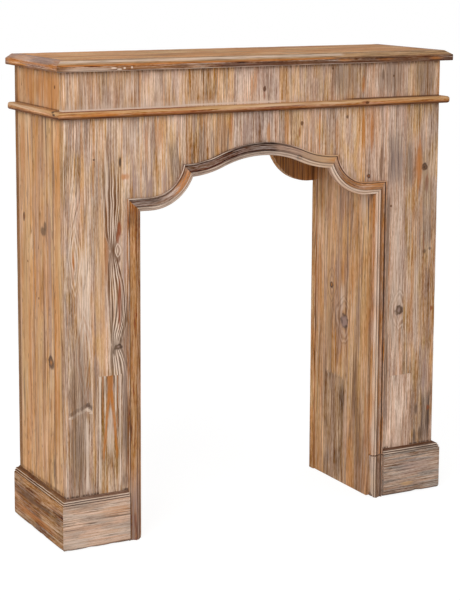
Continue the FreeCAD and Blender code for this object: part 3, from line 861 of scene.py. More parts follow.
def lobe_strip(mesh):
    _, edges = draw_section(mesh, Vector((FAR_CORNER.x, 0, SHOULDER)), Vector((0, 0, 1)))
    spring = LOBE + toward(180) * LOBE_RADIUS
    ends = sweep_line(mesh, edges, Vector((-1, 0, 0)), FAR_CORNER.x - spring.x)
    sweep_arc(mesh, ends, LOBE, heading(LOBE, OUTER_CUSP) + SPARE_TURN - 180, LOBE_RADIUS)
    mitre(mesh, INNER_CUSP, OUTER_CUSP, CORNER)
    mitre(mesh, CORNER, FAR_CORNER, LOBE)


def jamb_strip(mesh, low, high=None):
    _, edges = draw_section(mesh, Vector((OPENING_HALF, 0, low)), Vector((1, 0, 0)))
    sweep_line(mesh, edges, Vector((0, 0, 1)), (high or FAR_CORNER.z) - low)
    if high is None:
        mitre(mesh, CORNER, FAR_CORNER, Vector((FAR_CORNER.x, 0, 0)))
    if low == 0:
        for inset, rise in FOOT_ROUNDING:
            mitre(mesh, Vector((OPENING_HALF + inset, 0, 0)), Vector((OPENING_HALF, 0, rise)), CORNER + FAR_CORNER)


def arch_run(spot):
    """Distance outside the opening's line and length along it, on the arch."""
    turn = heading(CROWN, spot)
    if turn <= CROWN_TURN or turn > 180:
        return (spot - CROWN).length - CROWN_RADIUS, math.radians(turn) * CROWN_RADIUS
    past = math.radians(180 + CROWN_TURN - heading(FLARE, spot))
    return FLARE_RADIUS - (spot - FLARE).length, math.radians(CROWN_TURN) * CROWN_RADIUS + past * FLARE_RADIUS


def lobe_run(spot):
    """The same on the lobe and its shoulder, from the corner."""
    if spot.x >= LOBE.x:
        return spot.z - SHOULDER, FAR_CORNER.x - spot.x
    turn = math.radians(heading(LOBE, spot) - 180)
    return LOBE_RADIUS - (spot - LOBE).length, FAR_CORNER.x - LOBE.x + turn * LOBE_RADIUS


def jamb_run(spot):
    """The same on a jamb, from the floor."""
    return spot.x - OPENING_HALF, spot.z


def make_strip(node, draw, ends, run_of, seed):
    """One length of the moulding, with where each corner sits on it kept for the grain to follow."""
    mesh = bmesh.new()
    draw(mesh, *ends)
    close_shell(mesh)
    run = mesh.verts.layers.float_vector.new("run")
    for corner in mesh.verts:
        out, along = run_of(Vector((corner.co.x, 0, corner.co.z)))
        proud = FACE - corner.co.y
        corner[run] = out, proud, along
        if proud > ARRIS_LEAST and min(abs(out - arris) for arris in ARRISES) < ARRIS_REACH:
            corner.co.y += bite_at(along / RUB_LENGTH, out / RUB_WIDTH, seed) * ARRIS_WEAR
    to_metres(mesh, "left" in node)
    return smooth_object(node, mesh)


# The plinth boards: a hollow and two small fillets above a flat face, in millimetres
PLINTH_OUT, PLINTH_NEAR, PLINTH_INNER, PLINTH_BACK = 463.0, -133.0, 313.0, 140.0
# Distance behind the face and height of each corner, from the foot at the back
PLINTH_SECTION = (
    (13, 2), (5.5, 2), (3.6, 2.5), (2.0, 3.6), (0.8, 5.4), (0.2, 7.6), (0, 10), (0, 96.6), (0.5, 97.5), (2.6, 97.9),
    (2.6, 99), (1.4, 99.4), (1.4, 101.4), (1.9, 101.9), (4.6, 102.2), (4.6, 103.2), (3.4, 103.6), (3.4, 105.3),
    (3.9, 105.9), (7.6, 106), (9.4, 106.5), (11, 107.5), (12.2, 108.6), (13, 109.5))
# Heights between which the plinth is rubbed, and how deep
PLINTH_FOOT, PLINTH_ARRISES = 9, ((96, 98), (99.2, 102), (103.4, 106))
FOOT_WEAR, STEP_WEAR, PLINTH_RUB, RUB_HEIGHT = 2.2, 0.9, 26, 40


def make_plinth(node, along_x, right, seed):
    """One plinth board swept along its wall, mitred at the outer corner and knocked along its edges."""
    mesh = bmesh.new()
    pen = Pen(mesh, *PLINTH_SECTION[0])
    pen.line(*PLINTH_SECTION[1:])
    verts, edges = pen.close()
    for corner in verts:
        out, height = corner.co.x, -corner.co.y
        corner.co = (-PLINTH_OUT, PLINTH_NEAR + out, height) if along_x else (out - PLINTH_OUT, PLINTH_NEAR, height)
    way, length = ((1, 0, 0), PLINTH_OUT - PLINTH_INNER) if along_x else ((0, 1, 0), PLINTH_BACK - PLINTH_NEAR)
    sweep_line(mesh, edges, Vector(way), length)
    slope = Vector((-1, 1, 0)) if along_x else Vector((1, -1, 0))
    cut(mesh, (-PLINTH_OUT, PLINTH_NEAR, 0), slope, CUT_WELD, clear=True)
    close_shell(mesh)
    for corner in mesh.verts:
        x, y, z = corner.co
        if z < PLINTH_FOOT or any(low < z < high for low, high in PLINTH_ARRISES):
            depth = FOOT_WEAR if z < PLINTH_FOOT else STEP_WEAR
            corner.co -= corner.normal * bite_at(x / PLINTH_RUB, y / PLINTH_RUB, seed + z / RUB_HEIGHT) * depth
    to_metres(mesh, right)
    keep_in_box(mesh, node)
    return smooth_object(node, mesh)


# Finishes of the boards. Places are in millimetres on the board's face.
def front_shade_and_lime(low, high, lime):
    """Painted shade under the shelf, above and below the astragal and above the plinth, and lime that gathers beside
    the astragal, on a front stave.
    """
    # The umber bands at 978 and 884, the right umber band at 900 and the soot band at 110 are painted shade.
    return (Band(978, low, high, 9, "umber", 0.8), Band(900, low, high, 16, "chalk", lime),
            Band(902.5, -210, 70, 2.8, "chalk", 0.9), Band(900, -520, -165, 3.9, "chalk", 0.9),
            Band(900, 190, 520, 3.2, "umber", 0.95), Band(884, low, high, 7, "umber", 0.45),
            Band(110, low, high, 5, "soot", 0.85))


def fine_lines(across, along, length, count, strength, ink="bark"):
    """A cluster of fine dark lines along the grain."""
    return Fan(across, along, 0, 3.6, 3.6, 50, length, count, strength, 0.3, ink)


LEG_BLOCK = Look(pith=(-351, -125.7), lean=(0, 0.09), ring=8.0, lines=1.0, warming=0.2, greying=0.1, grit=0.4,
                 shade=0.77, features=(
    Stain(-351, 235, 9, 60, "chalk", 0.6, 0.8), Stain(-351, 345, 7.5, 64, "resin", 0.8, 0.9),
    Stain(-351, 345, 5, 60, "toffee", 0.6, 0.5),
    *(Stain(-351 + side * (4 + 0.09 * drop), 312 - drop, 4 - 0.01 * drop, 17, "resin", 0.75, 0.85)
      for side in (-1, 1) for drop in range(0, 120, 17)), Line(-367.5, 250, 372, 2.2, "toffee", 0.9),
    Line(-363, 270, 372, 2.4, "chalk", 1.0), Line(-339, 270, 372, 2.4, "chalk", 1.0),
    Line(-335, 240, 372, 2, "toffee", 0.8), Line(-374, 110, 372, 3, "chalk", 0.9),
    Line(-329, 110, 372, 2.5, "chalk", 0.9)))
RIGHT_BLOCK = Look(pith=(700, 30), ring=6.0, lines=0.4, base="blush", washing=0.8, warming=0.15, greying=0.2,
                   shade=0.97)
JAMB_BLOCK = Look(pith=(-500, 30), ring=10.0, lines=0.7, base="bark", tint="honey", tinting=0.45, late="umber",
                  warming=0.6, washing=0.2, greying=0.1, shade=1.32, coarse=2.0)
# A dark crack across the outer left stave
WING = (-437, 285), (-431, 288), (-424, 292), (-415, 294), (-407, 298), (-401, 301), (-396, 296), (-391, 291)
FRONT_LOOKS = {
    1: Look(pith=(-900, 40), ring=6.0, lines=0.9, washing=0.7, warming=0.35, greying=0.35, shade=0.87, contrast=0.95,
            features=(
        Stain(-408, 545, 19, 135, "chalk", 0.55), Stain(-406, 460, 18, 58, "chalk", 0.5),
        Swell(-429, 603, 26, 20, 130), Swell(-407, 460, 12, 14, 80), Stain(-430, 595, 3, 26, "resin", 0.9),
        Eye(-428, 600, 17, 88, 3, 0.2, 0.65), Eye(-407, 405, 21, 100, 2.5, 0.25, 0.5, "resin"),
        Stain(-411, 330, 22, 70, "umber", 0.4, 0.5),
        *(Stain(across, along - 8, 8, 3, "chalk", 0.7, 0.9) for across, along in WING),
        *(Stain(across, along, 6, 5, "soot", 0.75, 0.7) for across, along in WING),
        # Umber stains darken the outer stave towards its foot.
        Stain(-424, 200, 22, 130, "umber", 0.8), Stain(-436, 330, 12, 60, "umber", 0.75),
        fine_lines(-420, 300, 190, 5, 0.6), Line(-403, 110, 280, 4, "chalk", 0.8),
        Stain(-420, 940, 60, 60, "blush", 0.22, 0.9), *front_shade_and_lime(-500, -350, 0.4))),
    2: Look(pith=(300, 40), ring=6.0, washing=0.65, warming=0.45, greying=0.4, shade=0.88, contrast=0.9, features=(
        Stain(-371, 520, 14, 240, "honey", 0.5, 0.6), Stain(-357, 625, 6, 110, "toffee", 0.9, 0.6),
        Stain(-340, 610, 16, 70, "chalk", 0.7), Stain(-338, 420, 18, 60, "chalk", 0.9),
        Stain(-318, 560, 7, 160, "mauve", 0.7), Stain(-347, 725, 12, 85, "umber", 0.6),
        Fan(-338, 613, -0.03, 1.7, 8, 60, 230, 3.8, 1.0, 0.9, bulge=7, bold=1.1),
        Fan(-326, 420, 0, 3.4, 8, 46, 130, 3.6, 0.95, 1.0, "bark", "chalk", 12, 1.1),
        Stain(-329, 657, 5, 18, "rust", 1.0, 0.9), Stain(-333, 640, 3.6, 16, "rust", 0.9, 0.9),
        Stain(-329, 505, 4.6, 62, "rust", 0.9, 0.7), Stain(-331, 598, 5, 11, "umber", 0.8, 0.8),
        Eye(-332, 614, 9, 17, 1.5, 0.7, 0.7, "umber"), Knot(-333, 414, 9, 6, 18, 18, 50, "mauve", "bark"),
        Stain(-342, 405, 5, 9, "bark", 0.8), Stain(-326, 426, 4, 9, "bark", 0.8),
        Stain(-327, 793, 3, 12, "soot", 1.0, 1.0), Stain(-316, 763, 12, 8, "resin", 0.7, 0.6),
        Stain(-384, 801, 2.4, 2.4, "soot", 1.0, 1.0), Stain(-317, 132, 10, 26, "soot", 0.8),
        Stain(-318, 300, 6, 150, "mauve", 0.9), Stain(-316, 250, 5.5, 140, "bark", 0.6, 0.5),
        Stain(-384, 340, 5, 120, "umber", 0.6), fine_lines(-318, 300, 170, 2, 0.6),
        Stain(-295, 760, 8, 50, "mauve", 0.9), Stain(-300, 850, 14, 40, "chalk", 0.5),
        Line(-283, 690, 884, 1.8, "chalk", 0.9), Stain(-335, 940, 90, 60, "blush", 0.22, 0.9),
        *front_shade_and_lime(-420, -250, 0.45)), splice=Splice(356, -378, -325, LEG_BLOCK)),
    3: Look(pith=(700, 50), washing=0.65, greying=0.45, shade=0.97, contrast=0.9, features=(
        Fan(-203, 780, -0.12, 3.2, 3.2, 50, 60, 4, 0.7, 0.2, "bark"), Stain(-226, 740, 8, 40, "mauve", 0.7),
        Stain(-260, 735, 14, 34, "mauve", 0.9), Stain(-240, 850, 10, 50, "amber", 0.6),
        Stain(-270, 830, 6, 50, "amber", 0.6), Stain(-230, 940, 90, 60, "blush", 0.22, 0.9),
        *front_shade_and_lime(-320, -140, 0.55))),
    4: Look(pith=(-700, 30), tint="amber", tinting=0.5, washing=0.5, greying=0.2, shade=1.02, features=(
        fine_lines(-141, 815, 55, 3, 0.7, "soot"), fine_lines(-116, 812, 50, 2, 0.7, "soot"),
        fine_lines(-84, 818, 50, 3, 0.7, "soot"), Stain(-97, 855, 20, 50, "amber", 0.55),
        fine_lines(-98, 850, 50, 4, 0.5), Stain(-72, 850, 4, 50, "rust", 0.5), Stain(-160, 870, 8, 40, "mauve", 0.7),
        *front_shade_and_lime(-220, -30, 0.6))),
    5: Look(pith=(600, 50), ring=4.6, lines=0.55, base="blush", tint="mauve", tinting=0.5, washing=0.65,
            warming=0.35, features=(
        Knot(5, 929, 4.2, 6.5, body="peat"), Stain(5, 915, 2.5, 14, "rust", 0.9),
        Stain(-40, 840, 8, 50, "mauve", 0.8), Stain(15, 835, 5, 30, "amber", 0.8),
        Stain(-20, 945, 10, 30, "amber", 0.6), *front_shade_and_lime(-110, 60, 0.5))),
    6: Look(pith=(-500, 60), ring=4.6, washing=0.45, warming=0.35, shade=0.95, features=(
        Knot(97, 853, 3.4, 5), Stain(91, 835, 2.5, 14, "rust", 1.0), Stain(60, 850, 6, 60, "amber", 0.7),
        Stain(122, 845, 10, 40, "mauve", 0.6), Line(141, 780, 884, 2.4, "resin", 0.8), *front_shade_and_lime(0, 190, 0.25))),
    7: Look(pith=(800, 40), washing=0.45, warming=0.45, greying=0.35, shade=0.89, features=(
        Knot(172, 967, 3, 3), Stain(252, 830, 5, 58, "resin", 0.8, 0.6), Stain(210, 862, 4, 4, "soot", 1.0),
        Stain(250, 930, 5, 22, "resin", 0.9, 0.6), Stain(185, 830, 8, 50, "amber", 0.7),
        Stain(205, 945, 40, 36, "umber", 0.55), fine_lines(205, 940, 40, 9, 0.4), *front_shade_and_lime(110, 300, 0.0))),
    8: Look(pith=(-200, 40), base="blush", washing=0.5, greying=0.35, shade=0.89, features=(
        Stain(274, 826, 6, 46, "resin", 0.8, 0.6), Stain(338, 756, 24, 54, "mauve", 1.0),
        fine_lines(335, 765, 70, 6, 0.6, "soot"), Stain(300, 760, 5, 50, "umber", 0.7),
        Stain(300, 950, 5, 16, "umber", 0.8), Stain(325, 945, 46, 36, "umber", 0.65),
        fine_lines(320, 940, 40, 9, 0.4), Stain(345, 560, 14, 90, "chalk", 0.5),
        Stain(345, 470, 20, 60, "chalk", 0.6), Fan(339, 424, 0, 2.2, 5.0, 30, 90, 2.4, 0.5, 0.6, "bark", "chalk", 8),
        Fan(367, 424, 0, 2.2, 5.0, 30, 90, 2.4, 0.5, 0.6, "bark", "chalk", -8), Eye(353, 424, 30, 52, 3, 0.2, 0.45),
        Knot(353, 424, 10, 11, 18, 18, 60, "mauve", "bark"), Knot(328, 947, 2.5, 3), Knot(267, 730, 5, 5),
        Knot(327, 660, 3, 3), Stain(322, 640, 4, 50, "umber", 0.6), fine_lines(321, 430, 330, 2, 0.7),
        Stain(322, 250, 6, 160, "soot", 0.5), *front_shade_and_lime(210, 400, 0.0)), splice=Splice(275, 331, 366, RIGHT_BLOCK)),
    9: Look(pith=(900, 30), washing=0.45, greying=0.35, shade=0.87, features=(
        Stain(400, 748, 10, 64, "resin", 0.85, 0.8), Stain(372, 752, 11, 50, "soot", 0.5),
        fine_lines(374, 752, 60, 3, 0.7), Fan(414, 742, 0, 3.0, 5.0, 26, 60, 2.5, 0.5, 0.3),
        Stain(421, 704, 5.5, 26, "rust", 0.9, 0.8), Knot(414, 742, 7.5, 8.5, 18, 16, 50, "soot", "umber"),
        Stain(418, 552, 5, 6, "soot", 0.9), Stain(433, 557, 5, 5, "soot", 0.8), Stain(434, 590, 5, 26, "umber", 0.7),
        Stain(408, 640, 6, 60, "amber", 0.6), fine_lines(424, 640, 110, 4, 0.6),
        Stain(398, 450, 9, 120, "chalk", 0.5), Stain(432, 400, 9, 120, "umber", 0.4),
        fine_lines(430, 170, 70, 4, 0.9, "soot"), Stain(405, 190, 5, 20, "soot", 0.9),
        Stain(436, 165, 5, 30, "soot", 0.8), Stain(402, 128, 5, 24, "soot", 0.8), Stain(416, 130, 5, 24, "bark", 0.9),
        Stain(438, 190, 5, 8, "rust", 0.9), Stain(440, 420, 4, 8, "rust", 0.9), Stain(425, 280, 9, 60, "mauve", 0.8),
        Stain(410, 945, 40, 36, "umber", 0.6), fine_lines(408, 940, 40, 8, 0.5),
        Line(416, 545, 605, 1.8, "rust", 0.9), *front_shade_and_lime(320, 500, 0.0)),
        splice=Splice(275, 364, 388, RIGHT_BLOCK)),
}
# Painted shade on the side staves under the shelf, above and below the astragal and above the plinth, and an amber
# stain across the frieze.
SIDE_SHADE_AND_STAIN = (Band(976, -200, 200, 7, "umber", 0.8), Band(900.5, -200, 200, 2.6, "umber", 0.8),
             Band(881, -200, 200, 6, "umber", 0.5), Band(113, -200, 200, 6, "umber", 0.7),
             Stain(0, 940, 220, 50, "amber", 0.7))
SIDE_LOOK = Look(pith=(500, 40), ring=14.0, lines=0.5, tint="amber", tinting=0.5, warming=0.55, washing=0.3,
                 greying=0.12, grit=0.8, shade=1.05, coarse=2.5, contrast=0.5)
SIDE_LOOKS = {
    1: SIDE_LOOK._replace(warming=0.75, washing=0.2, features=(
        Stain(-92, 480, 20, 420, "honey", 0.4, 0.4), Stain(-60, 840, 12, 50, "umber", 0.6),
        Stain(-84, 250, 6, 130, "resin", 0.6, 0.5), Line(-66, 100, 978, 2.6, "umber", 0.7),
        Line(-104, 100, 978, 3, "umber", 0.5), Knot(-80, 945, 4, 4))),
    2: SIDE_LOOK._replace(greying=0.3, features=(
        Stain(-44, 520, 12, 260, "mauve", 0.45, 0.7), Stain(20, 300, 16, 240, "honey", 0.55, 0.5),
        Stain(22, 760, 12, 120, "amber", 0.6, 0.6), Stain(-12, 400, 6, 180, "umber", 0.6, 0.6),
        Stain(-10, 780, 16, 60, "mauve", 0.6), Stain(-22, 657, 11, 12, "bark", 0.75, 0.8),
        Stain(-12, 645, 19, 11, "bark", 0.75, 0.8), Line(-62, 100, 978, 2.2, "umber", 0.6),
        Line(42, 100, 978, 2.2, "umber", 0.5), Knot(-46, 378, 14, 13, heart="amber"), Knot(18, 500, 3, 3))),
    3: SIDE_LOOK._replace(tinting=0.35, features=(
        Stain(125, 500, 12, 400, "blush", 0.8, 0.7), Stain(88, 560, 18, 260, "honey", 0.5, 0.5),
        Stain(70, 350, 9, 250, "resin", 0.5, 0.5), Stain(100, 800, 14, 100, "amber", 0.5, 0.6),
        Line(46, 100, 978, 2.2, "umber", 0.5), Knot(95, 662, 6, 9), Knot(77, 569, 3, 3))),
}
JAMB_LOOK = Look(pith=(-500, 30), ring=12.0, lines=0.5, tint="amber", tinting=0.5, warming=0.45, washing=0.4,
                 greying=0.45, shade=1.1, coarse=2.2, contrast=0.65)
JAMB_LOOKS = {
    1: JAMB_LOOK._replace(features=(
        # The soot line at -95 is a painted shadow cast by the moulding's lip.
        Stain(-75, 660, 12, 50, "chalk", 0.8), Line(-95, 590, 690, 3.5, "soot", 0.9),
        # Umber stains darken the lining towards the floor.
        Line(-97, 100, 590, 2.5, "resin", 0.7), Stain(-50, 250, 16, 110, "umber", 0.75),
        Stain(-60, 420, 12, 120, "mauve", 0.6), Stain(-70, 120, 30, 90, "umber", 0.65))),
    2: JAMB_LOOK._replace(warming=0.3, features=(
        Stain(8, 440, 16, 40, "chalk", 0.7), Eye(-2, 384, 44, 62, 3, 0.3, 0.3),
        Knot(-2, 380, 15, 16, 24, 20, 60, "mauve", "mauve"), Line(-12, 400, 700, 3, "umber", 0.8),
        Stain(20, 560, 14, 140, "mauve", 0.5), Stain(30, 640, 10, 60, "chalk", 0.4),
        Stain(66, 420, 14, 240, "honey", 0.6, 0.5), Eye(54, 457, 28, 46, 2, 0.35, 0.4, "umber", "honey"),
        Knot(54, 457, 7, 7, 20, 16, 50, "amber")), splice=Splice(250, -6, 80, JAMB_BLOCK, 60)),
    3: JAMB_LOOK._replace(greying=0.1, warming=0.75),
}
# Shade and tint of each rear stave
REAR_TONES = ((0.98, 0.5), (1.05, 0.3), (0.93, 0.7), (1.02, 0.4), (0.96, 0.6), (1.06, 0.3), (0.94, 0.5), (1.03, 0.6),
              (0.97, 0.4))
REAR_LOOK = Look(pith=(500, 40), ring=6.0, tint="amber", tinting=0.5, warming=0.4, washing=0.3, greying=0.1)
SHELF_LOOK = Look(ring=14.0, tint="amber", tinting=0.7, warming=0.8, washing=0.15, greying=0.1, grit=0.8, shade=1.2,
                  coarse=2.2, contrast=0.75)
EDGE_LOOK = Look(lines=0.5, base="umber", tint="amber", tinting=0.5, late="peat", washing=0.35, greying=0.1,
                 grit=0.8, coarse=0.7, contrast=1.6, features=(
    Line(996, -480, 480, 6.5, "honey", 0.65), Line(997, -480, 200, 3, "chalk", 0.8),
    Line(990.5, -480, 180, 2.4, "resin", 0.9), Line(990.5, 150, 480, 2.4, "umber", 0.7),
    Line(984, -480, -150, 5, "amber", 0.35), Line(981, -480, 480, 7, "umber", 0.4),
    Stain(984, -348, 1.7, 7, "chalk", 1.0, 1.0), Stain(981.5, -336, 1.5, 6, "chalk", 1.0, 1.0),
    Stain(983.5, -325, 2, 3, "chalk", 1.0, 1.0), Stain(984.5, -309, 2.6, 2, "chalk", 1.0, 1.0),
    Stain(983, -400, 4, 60, "chalk", 0.5), Stain(984, -60, 7, 130, "plum", 0.6), Stain(984, -200, 6, 40, "peat", 0.8),
    Stain(984, 80, 6, 120, "peat", 0.8), Stain(982, 350, 8, 260, "peat", 0.65, 0.6),
    Stain(986, 190, 3, 26, "amber", 0.7), Stain(985, 290, 2.6, 30, "resin", 0.4),
    Stain(984, 425, 3, 24, "resin", 0.7), Line(978.6, -480, 300, 1.2, "chalk", 0.5)))
# The umber line at 980 is painted shade along the bottom of the return.
RETURN_LOOK = Look(lines=0.5, base="amber", tint="mauve", washing=0.3, grit=0.7, features=(
    Line(997, -150, 150, 6, "mauve", 0.6), Stain(996, 60, 5, 60, "blush", 0.8), Line(989, -150, 150, 3, "resin", 0.8),
    Line(980, -150, 150, 3, "umber", 0.8)))
# The astragal's lines: painted shade on its lower half (rust at 887) and underside (peat at 884), a painted shadow
# along its top at the left (rust at 899.5), and a painted highlight along its top (honey at 896.5).
ASTRAGAL_LOOK = Look(lines=0.5, base="amber", tint="honey", tinting=0.7, washing=0.25, greying=0.0, contrast=1.2,
                     grime="rust", features=(
    Line(887, -480, 480, 6, "rust", 0.55), Line(884, -480, 480, 7, "peat", 1.0),
    Line(896.5, -480, 480, 4, "honey", 0.9), Stain(891, -200, 4, 90, "rust", 0.5),
    Stain(895, 60, 4, 160, "chalk", 0.3), Stain(892, -380, 4, 60, "resin", 0.7), Stain(892, 330, 4, 60, "resin", 0.6),
    Line(899.5, -480, -150, 1.9, "rust", 0.9), Stain(894, 246, 3, 12, "rust", 0.8, 0.9),
    Knot(892.5, 250, 3, 5, heart="soot", body="peat")))
ASTRAGAL_SPLIT = Stain(893, -112, 3, 8, "soot", 1.0, 1.0), Stain(898, -104, 3, 7, "soot", 0.9, 1.0)
# Painted shade in the plinth's hollow, its two grooves and along its foot, and pale lines on its two fillets.
PLINTH_SHADE_AND_FILLETS = (Line(107.8, -480, 480, 3.2, "peat", 0.9), Line(102.6, -480, 480, 1.3, "soot", 0.8),
               Line(98.4, -480, 480, 1.3, "soot", 0.7), Line(104.7, -480, 480, 1.2, "chalk", 0.8),
               Line(100.5, -480, 480, 1.2, "chalk", 0.7), Line(3, -480, 480, 5, "soot", 0.6))
PLINTH_LOOK = Look(lines=0.35, base="blush", tint="ash", tinting=0.6, warming=0.1, grey="ash", washing=0.55,
                   greying=0.25, grit=0.9, shade=0.96, coarse=0.65, contrast=0.45, features=(
    Stain(75, -345, 12, 50, "amber", 0.5), Stain(30, -360, 6, 40, "amber", 0.3), Stain(86, -420, 8, 40, "amber", 0.3),
    *PLINTH_SHADE_AND_FILLETS))
RIGHT_PLINTH_LOOK = PLINTH_LOOK._replace(shade=0.78, tint="mauve", tinting=0.4, greying=0.8, warming=0.0, washing=0.8,
                                         contrast=0.95, features=(
    Stain(24, 375, 5, 22, "honey", 0.8), Stain(60, 400, 20, 60, "mauve", 0.6), *PLINTH_SHADE_AND_FILLETS))
PLINTH_SIDE_LOOK = Look(ring=6.0, lines=0.5, base="umber", tint="honey", tinting=0.5, warming=0.4, washing=0.15,
                        greying=0.0, coarse=1.3, contrast=0.95, features=(
    Stain(28, 0, 9, 160, "resin", 0.7), Stain(62, 60, 14, 120, "umber", 0.8), Stain(60, -60, 14, 60, "bark", 0.6),
    *PLINTH_SHADE_AND_FILLETS))


def turn_to(colour_name, *starts):
    """A colour that takes over a length of moulding in steps."""
    return tuple(Line(13, start, 900, 30, colour_name, 0.5) for start in starts)


ARCH_LOOK = Look(ring=4.0, base="umber", tint="plum", late="peat", washing=0.05, warming=0.4, greying=0.0,
                 shade=0.94, contrast=1.5)
# Each length of moulding, with how pale its beads and outer arris are
MOULDING_LOOKS = {
    "left_jamb": (Look(lines=0.5, base="amber", tint="honey", tinting=0.3, washing=0.1, greying=0.05, shade=0.72,
                       features=(
        # The soot line at 24 is a painted shadow along the quirk.
        Line(17, -10, 700, 7, "honey", 0.3), Line(24, -10, 700, 2.5, "soot", 0.6),
        Stain(14, 50, 20, 110, "mauve", 0.9), Stain(5, 60, 4, 120, "umber", 0.7),
        Stain(14, 680, 20, 20, "umber", 0.7))), 0.1, 0.5),
    "left_lobe": (Look(ring=4.0, base="plum", tint="umber", late="mauve", washing=0.45, shade=0.95, contrast=1.3,
                       features=(
        Stain(15, 160, 16, 50, "resin", 0.9), Stain(18, 60, 6, 60, "soot", 0.7))), 0.6, 0.7),
    "left_arch": (ARCH_LOOK, 0.45, 0.5),
    "right_arch": (ARCH_LOOK._replace(features=(
        *turn_to("blush", 20, 50), *turn_to("honey", 80, 110), Stain(15, 190, 16, 40, "amber", 0.8),
        Stain(18, 120, 8, 50, "mauve", 0.4), Knot(7, 86, 4.8, 7, 6, 8, 16, "amber", "peat"))), 0.5, 0.1),
    "right_lobe": (Look(ring=4.0, lines=0.5, base="amber", tint="blush", washing=0.3, shade=0.97, features=(
        Stain(18, 120, 6, 70, "umber", 0.6), Stain(16, 20, 12, 40, "amber", 0.9))), 0.7, 0.1),
    "right_jamb": (Look(ring=4.0, lines=0.5, base="amber", tint="blush", washing=0.2, shade=1.05, features=(
        # The soot line at 24 is a painted shadow along the quirk.
        Line(13, -10, 720, 3.5, "umber", 0.7), Line(24, -10, 720, 2, "soot", 0.6),
        Stain(4, 250, 8, 150, "honey", 0.7))), 0.6, 0.05),
    "right_foot": (Look(ring=4.0, lines=0.5, base="blush", tint="ash", washing=0.3, shade=0.9, features=(
        Line(13, -10, 720, 3.5, "umber", 0.7), Stain(4, 40, 8, 40, "honey", 0.6))), 0.5, 0.05),
}
BATTEN_LOOK = Look(ring=4.5, lines=0.4, base="batten", tint="honey", washing=0.0, greying=0.0)


# Number of the first grain in each group of boards. No two boards share one, but the two halves of the arch do, so that
# their grain runs through at the crown.
REAR_GRAIN, MANTEL_GRAIN, EDGE_GRAIN, ASTRAGAL_GRAIN = 20, 70, 74, 77
MOULDING_GRAIN, ARCH_GRAIN, BATTEN_GRAIN = 80, 82, 100
SIDE_GRAIN, JAMB_GRAIN, PLINTH_GRAIN = {"left": 30, "right": 40}, {"left": 50, "right": 60}, {"left": 90, "right": 92}
STAVES = 1, 2, 3


class SURROUND_OT_front_panel(bpy.types.Operator):
    """Front staves in brushed fir with lime in the grain"""
    bl_idname = "surround.front_panel"
    bl_label = "Front panel"

    def execute(self, context):
        for number, look in FRONT_LOOKS.items():
            dress_board(f"front_stave_{number}", "front_panel_wood", look, UPRIGHT_FRONT, number)
        return {"FINISHED"}


class SURROUND_OT_rear_panel(bpy.types.Operator):
    """Rear staves, honey-coloured with little lime"""
    bl_idname = "surround.rear_panel"
    bl_label = "Rear panel"

    def execute(self, context):
        for number, (shade, tinting) in enumerate(REAR_TONES, start=1):
            node = f"rear_stave_{number}"
            joints = tuple(Line(end[0] * PER_M, -30, 1030, 1.6, "umber", 0.7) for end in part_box(node))
            look = REAR_LOOK._replace(shade=shade, tinting=tinting, features=joints)
            # The inner faces get the darker amber tone, partly painted shade.
            dress_board(node, "rear_panel_wood", look, UPRIGHT_FRONT, REAR_GRAIN + number, "amber")
        return {"FINISHED"}


def other_marks(features):
    """The marks of one leg, with its knots at other heights, for the other leg."""
    return tuple(item._replace(along=item.along - OTHER_LEG_DROP) if isinstance(item, (Knot, Eye)) else item
                 for item in features)


class SURROUND_OT_side_panels(bpy.types.Operator):
    """Side staves of both legs"""
    bl_idname = "surround.side_panels"
    bl_label = "Side panels"

    def execute(self, context):
        for number in STAVES:
            for side, grain in SIDE_GRAIN.items():
                look = SIDE_LOOKS[number]
                marks = look.features if side == "left" else other_marks(look.features)
                look = look._replace(features=marks + SIDE_SHADE_AND_STAIN)
                dress_board(f"{side}_side_stave_{number}", "side_panel_wood", look, UPRIGHT_SIDE, grain + number)
        return {"FINISHED"}


# How far from the middle the jamb linings' show face lies, as shown and as packed, and what counts as part of it
JAMB_SHOW_FACE, JAMB_PACKED_FACE, JAMB_FACE_DEPTH = 0.2845, 0.2932, 0.003


def fill_out(item):
    """Bring a lining's show face out towards the opening, nearly flush with the moulding."""
    for corner in item.data.vertices:
        if abs(corner.co.x) < JAMB_PACKED_FACE + JAMB_FACE_DEPTH:
            corner.co.x -= math.copysign(JAMB_PACKED_FACE - JAMB_SHOW_FACE, corner.co.x)


class SURROUND_OT_jamb_linings(bpy.types.Operator):
    """Staves that line the opening's two sides"""
    bl_idname = "surround.jamb_linings"
    bl_label = "Jamb linings"

    def execute(self, context):
        for number in STAVES:
            for side, grain in JAMB_GRAIN.items():
                node = f"{side}_jamb_stave_{number}"
                look = JAMB_LOOKS[number]
                if side == "left":
                    look = look._replace(features=other_marks(look.features), splice=None)
                item = worn_copy(node, 2, grain + number)
                fill_out(item)
                dress(item, node, wood(f"{node}_jamb_wood", look, UPRIGHT_SIDE, grain + number))
        return {"FINISHED"}


class SURROUND_OT_mantel(bpy.types.Operator):
    """Shelf boards and their mitred edge strips"""
    bl_idname = "surround.mantel"
    bl_label = "Mantel"

    def execute(self, context):
        for seed, name in enumerate(("front", "middle", "back"), start=MANTEL_GRAIN):
            dress_board(f"mantel_board_{name}", "mantel_wood", SHELF_LOOK, FLAT_SHELF, seed)
        rows = ("front", EDGE_LOOK, BAND_FRONT), ("left", RETURN_LOOK, BAND_SIDE), ("right", RETURN_LOOK, BAND_SIDE)
        for seed, (name, look, axes) in enumerate(rows, start=EDGE_GRAIN):
            dress_board(f"mantel_edge_{name}", "mantel_edge_wood", look, axes, seed)
        return {"FINISHED"}


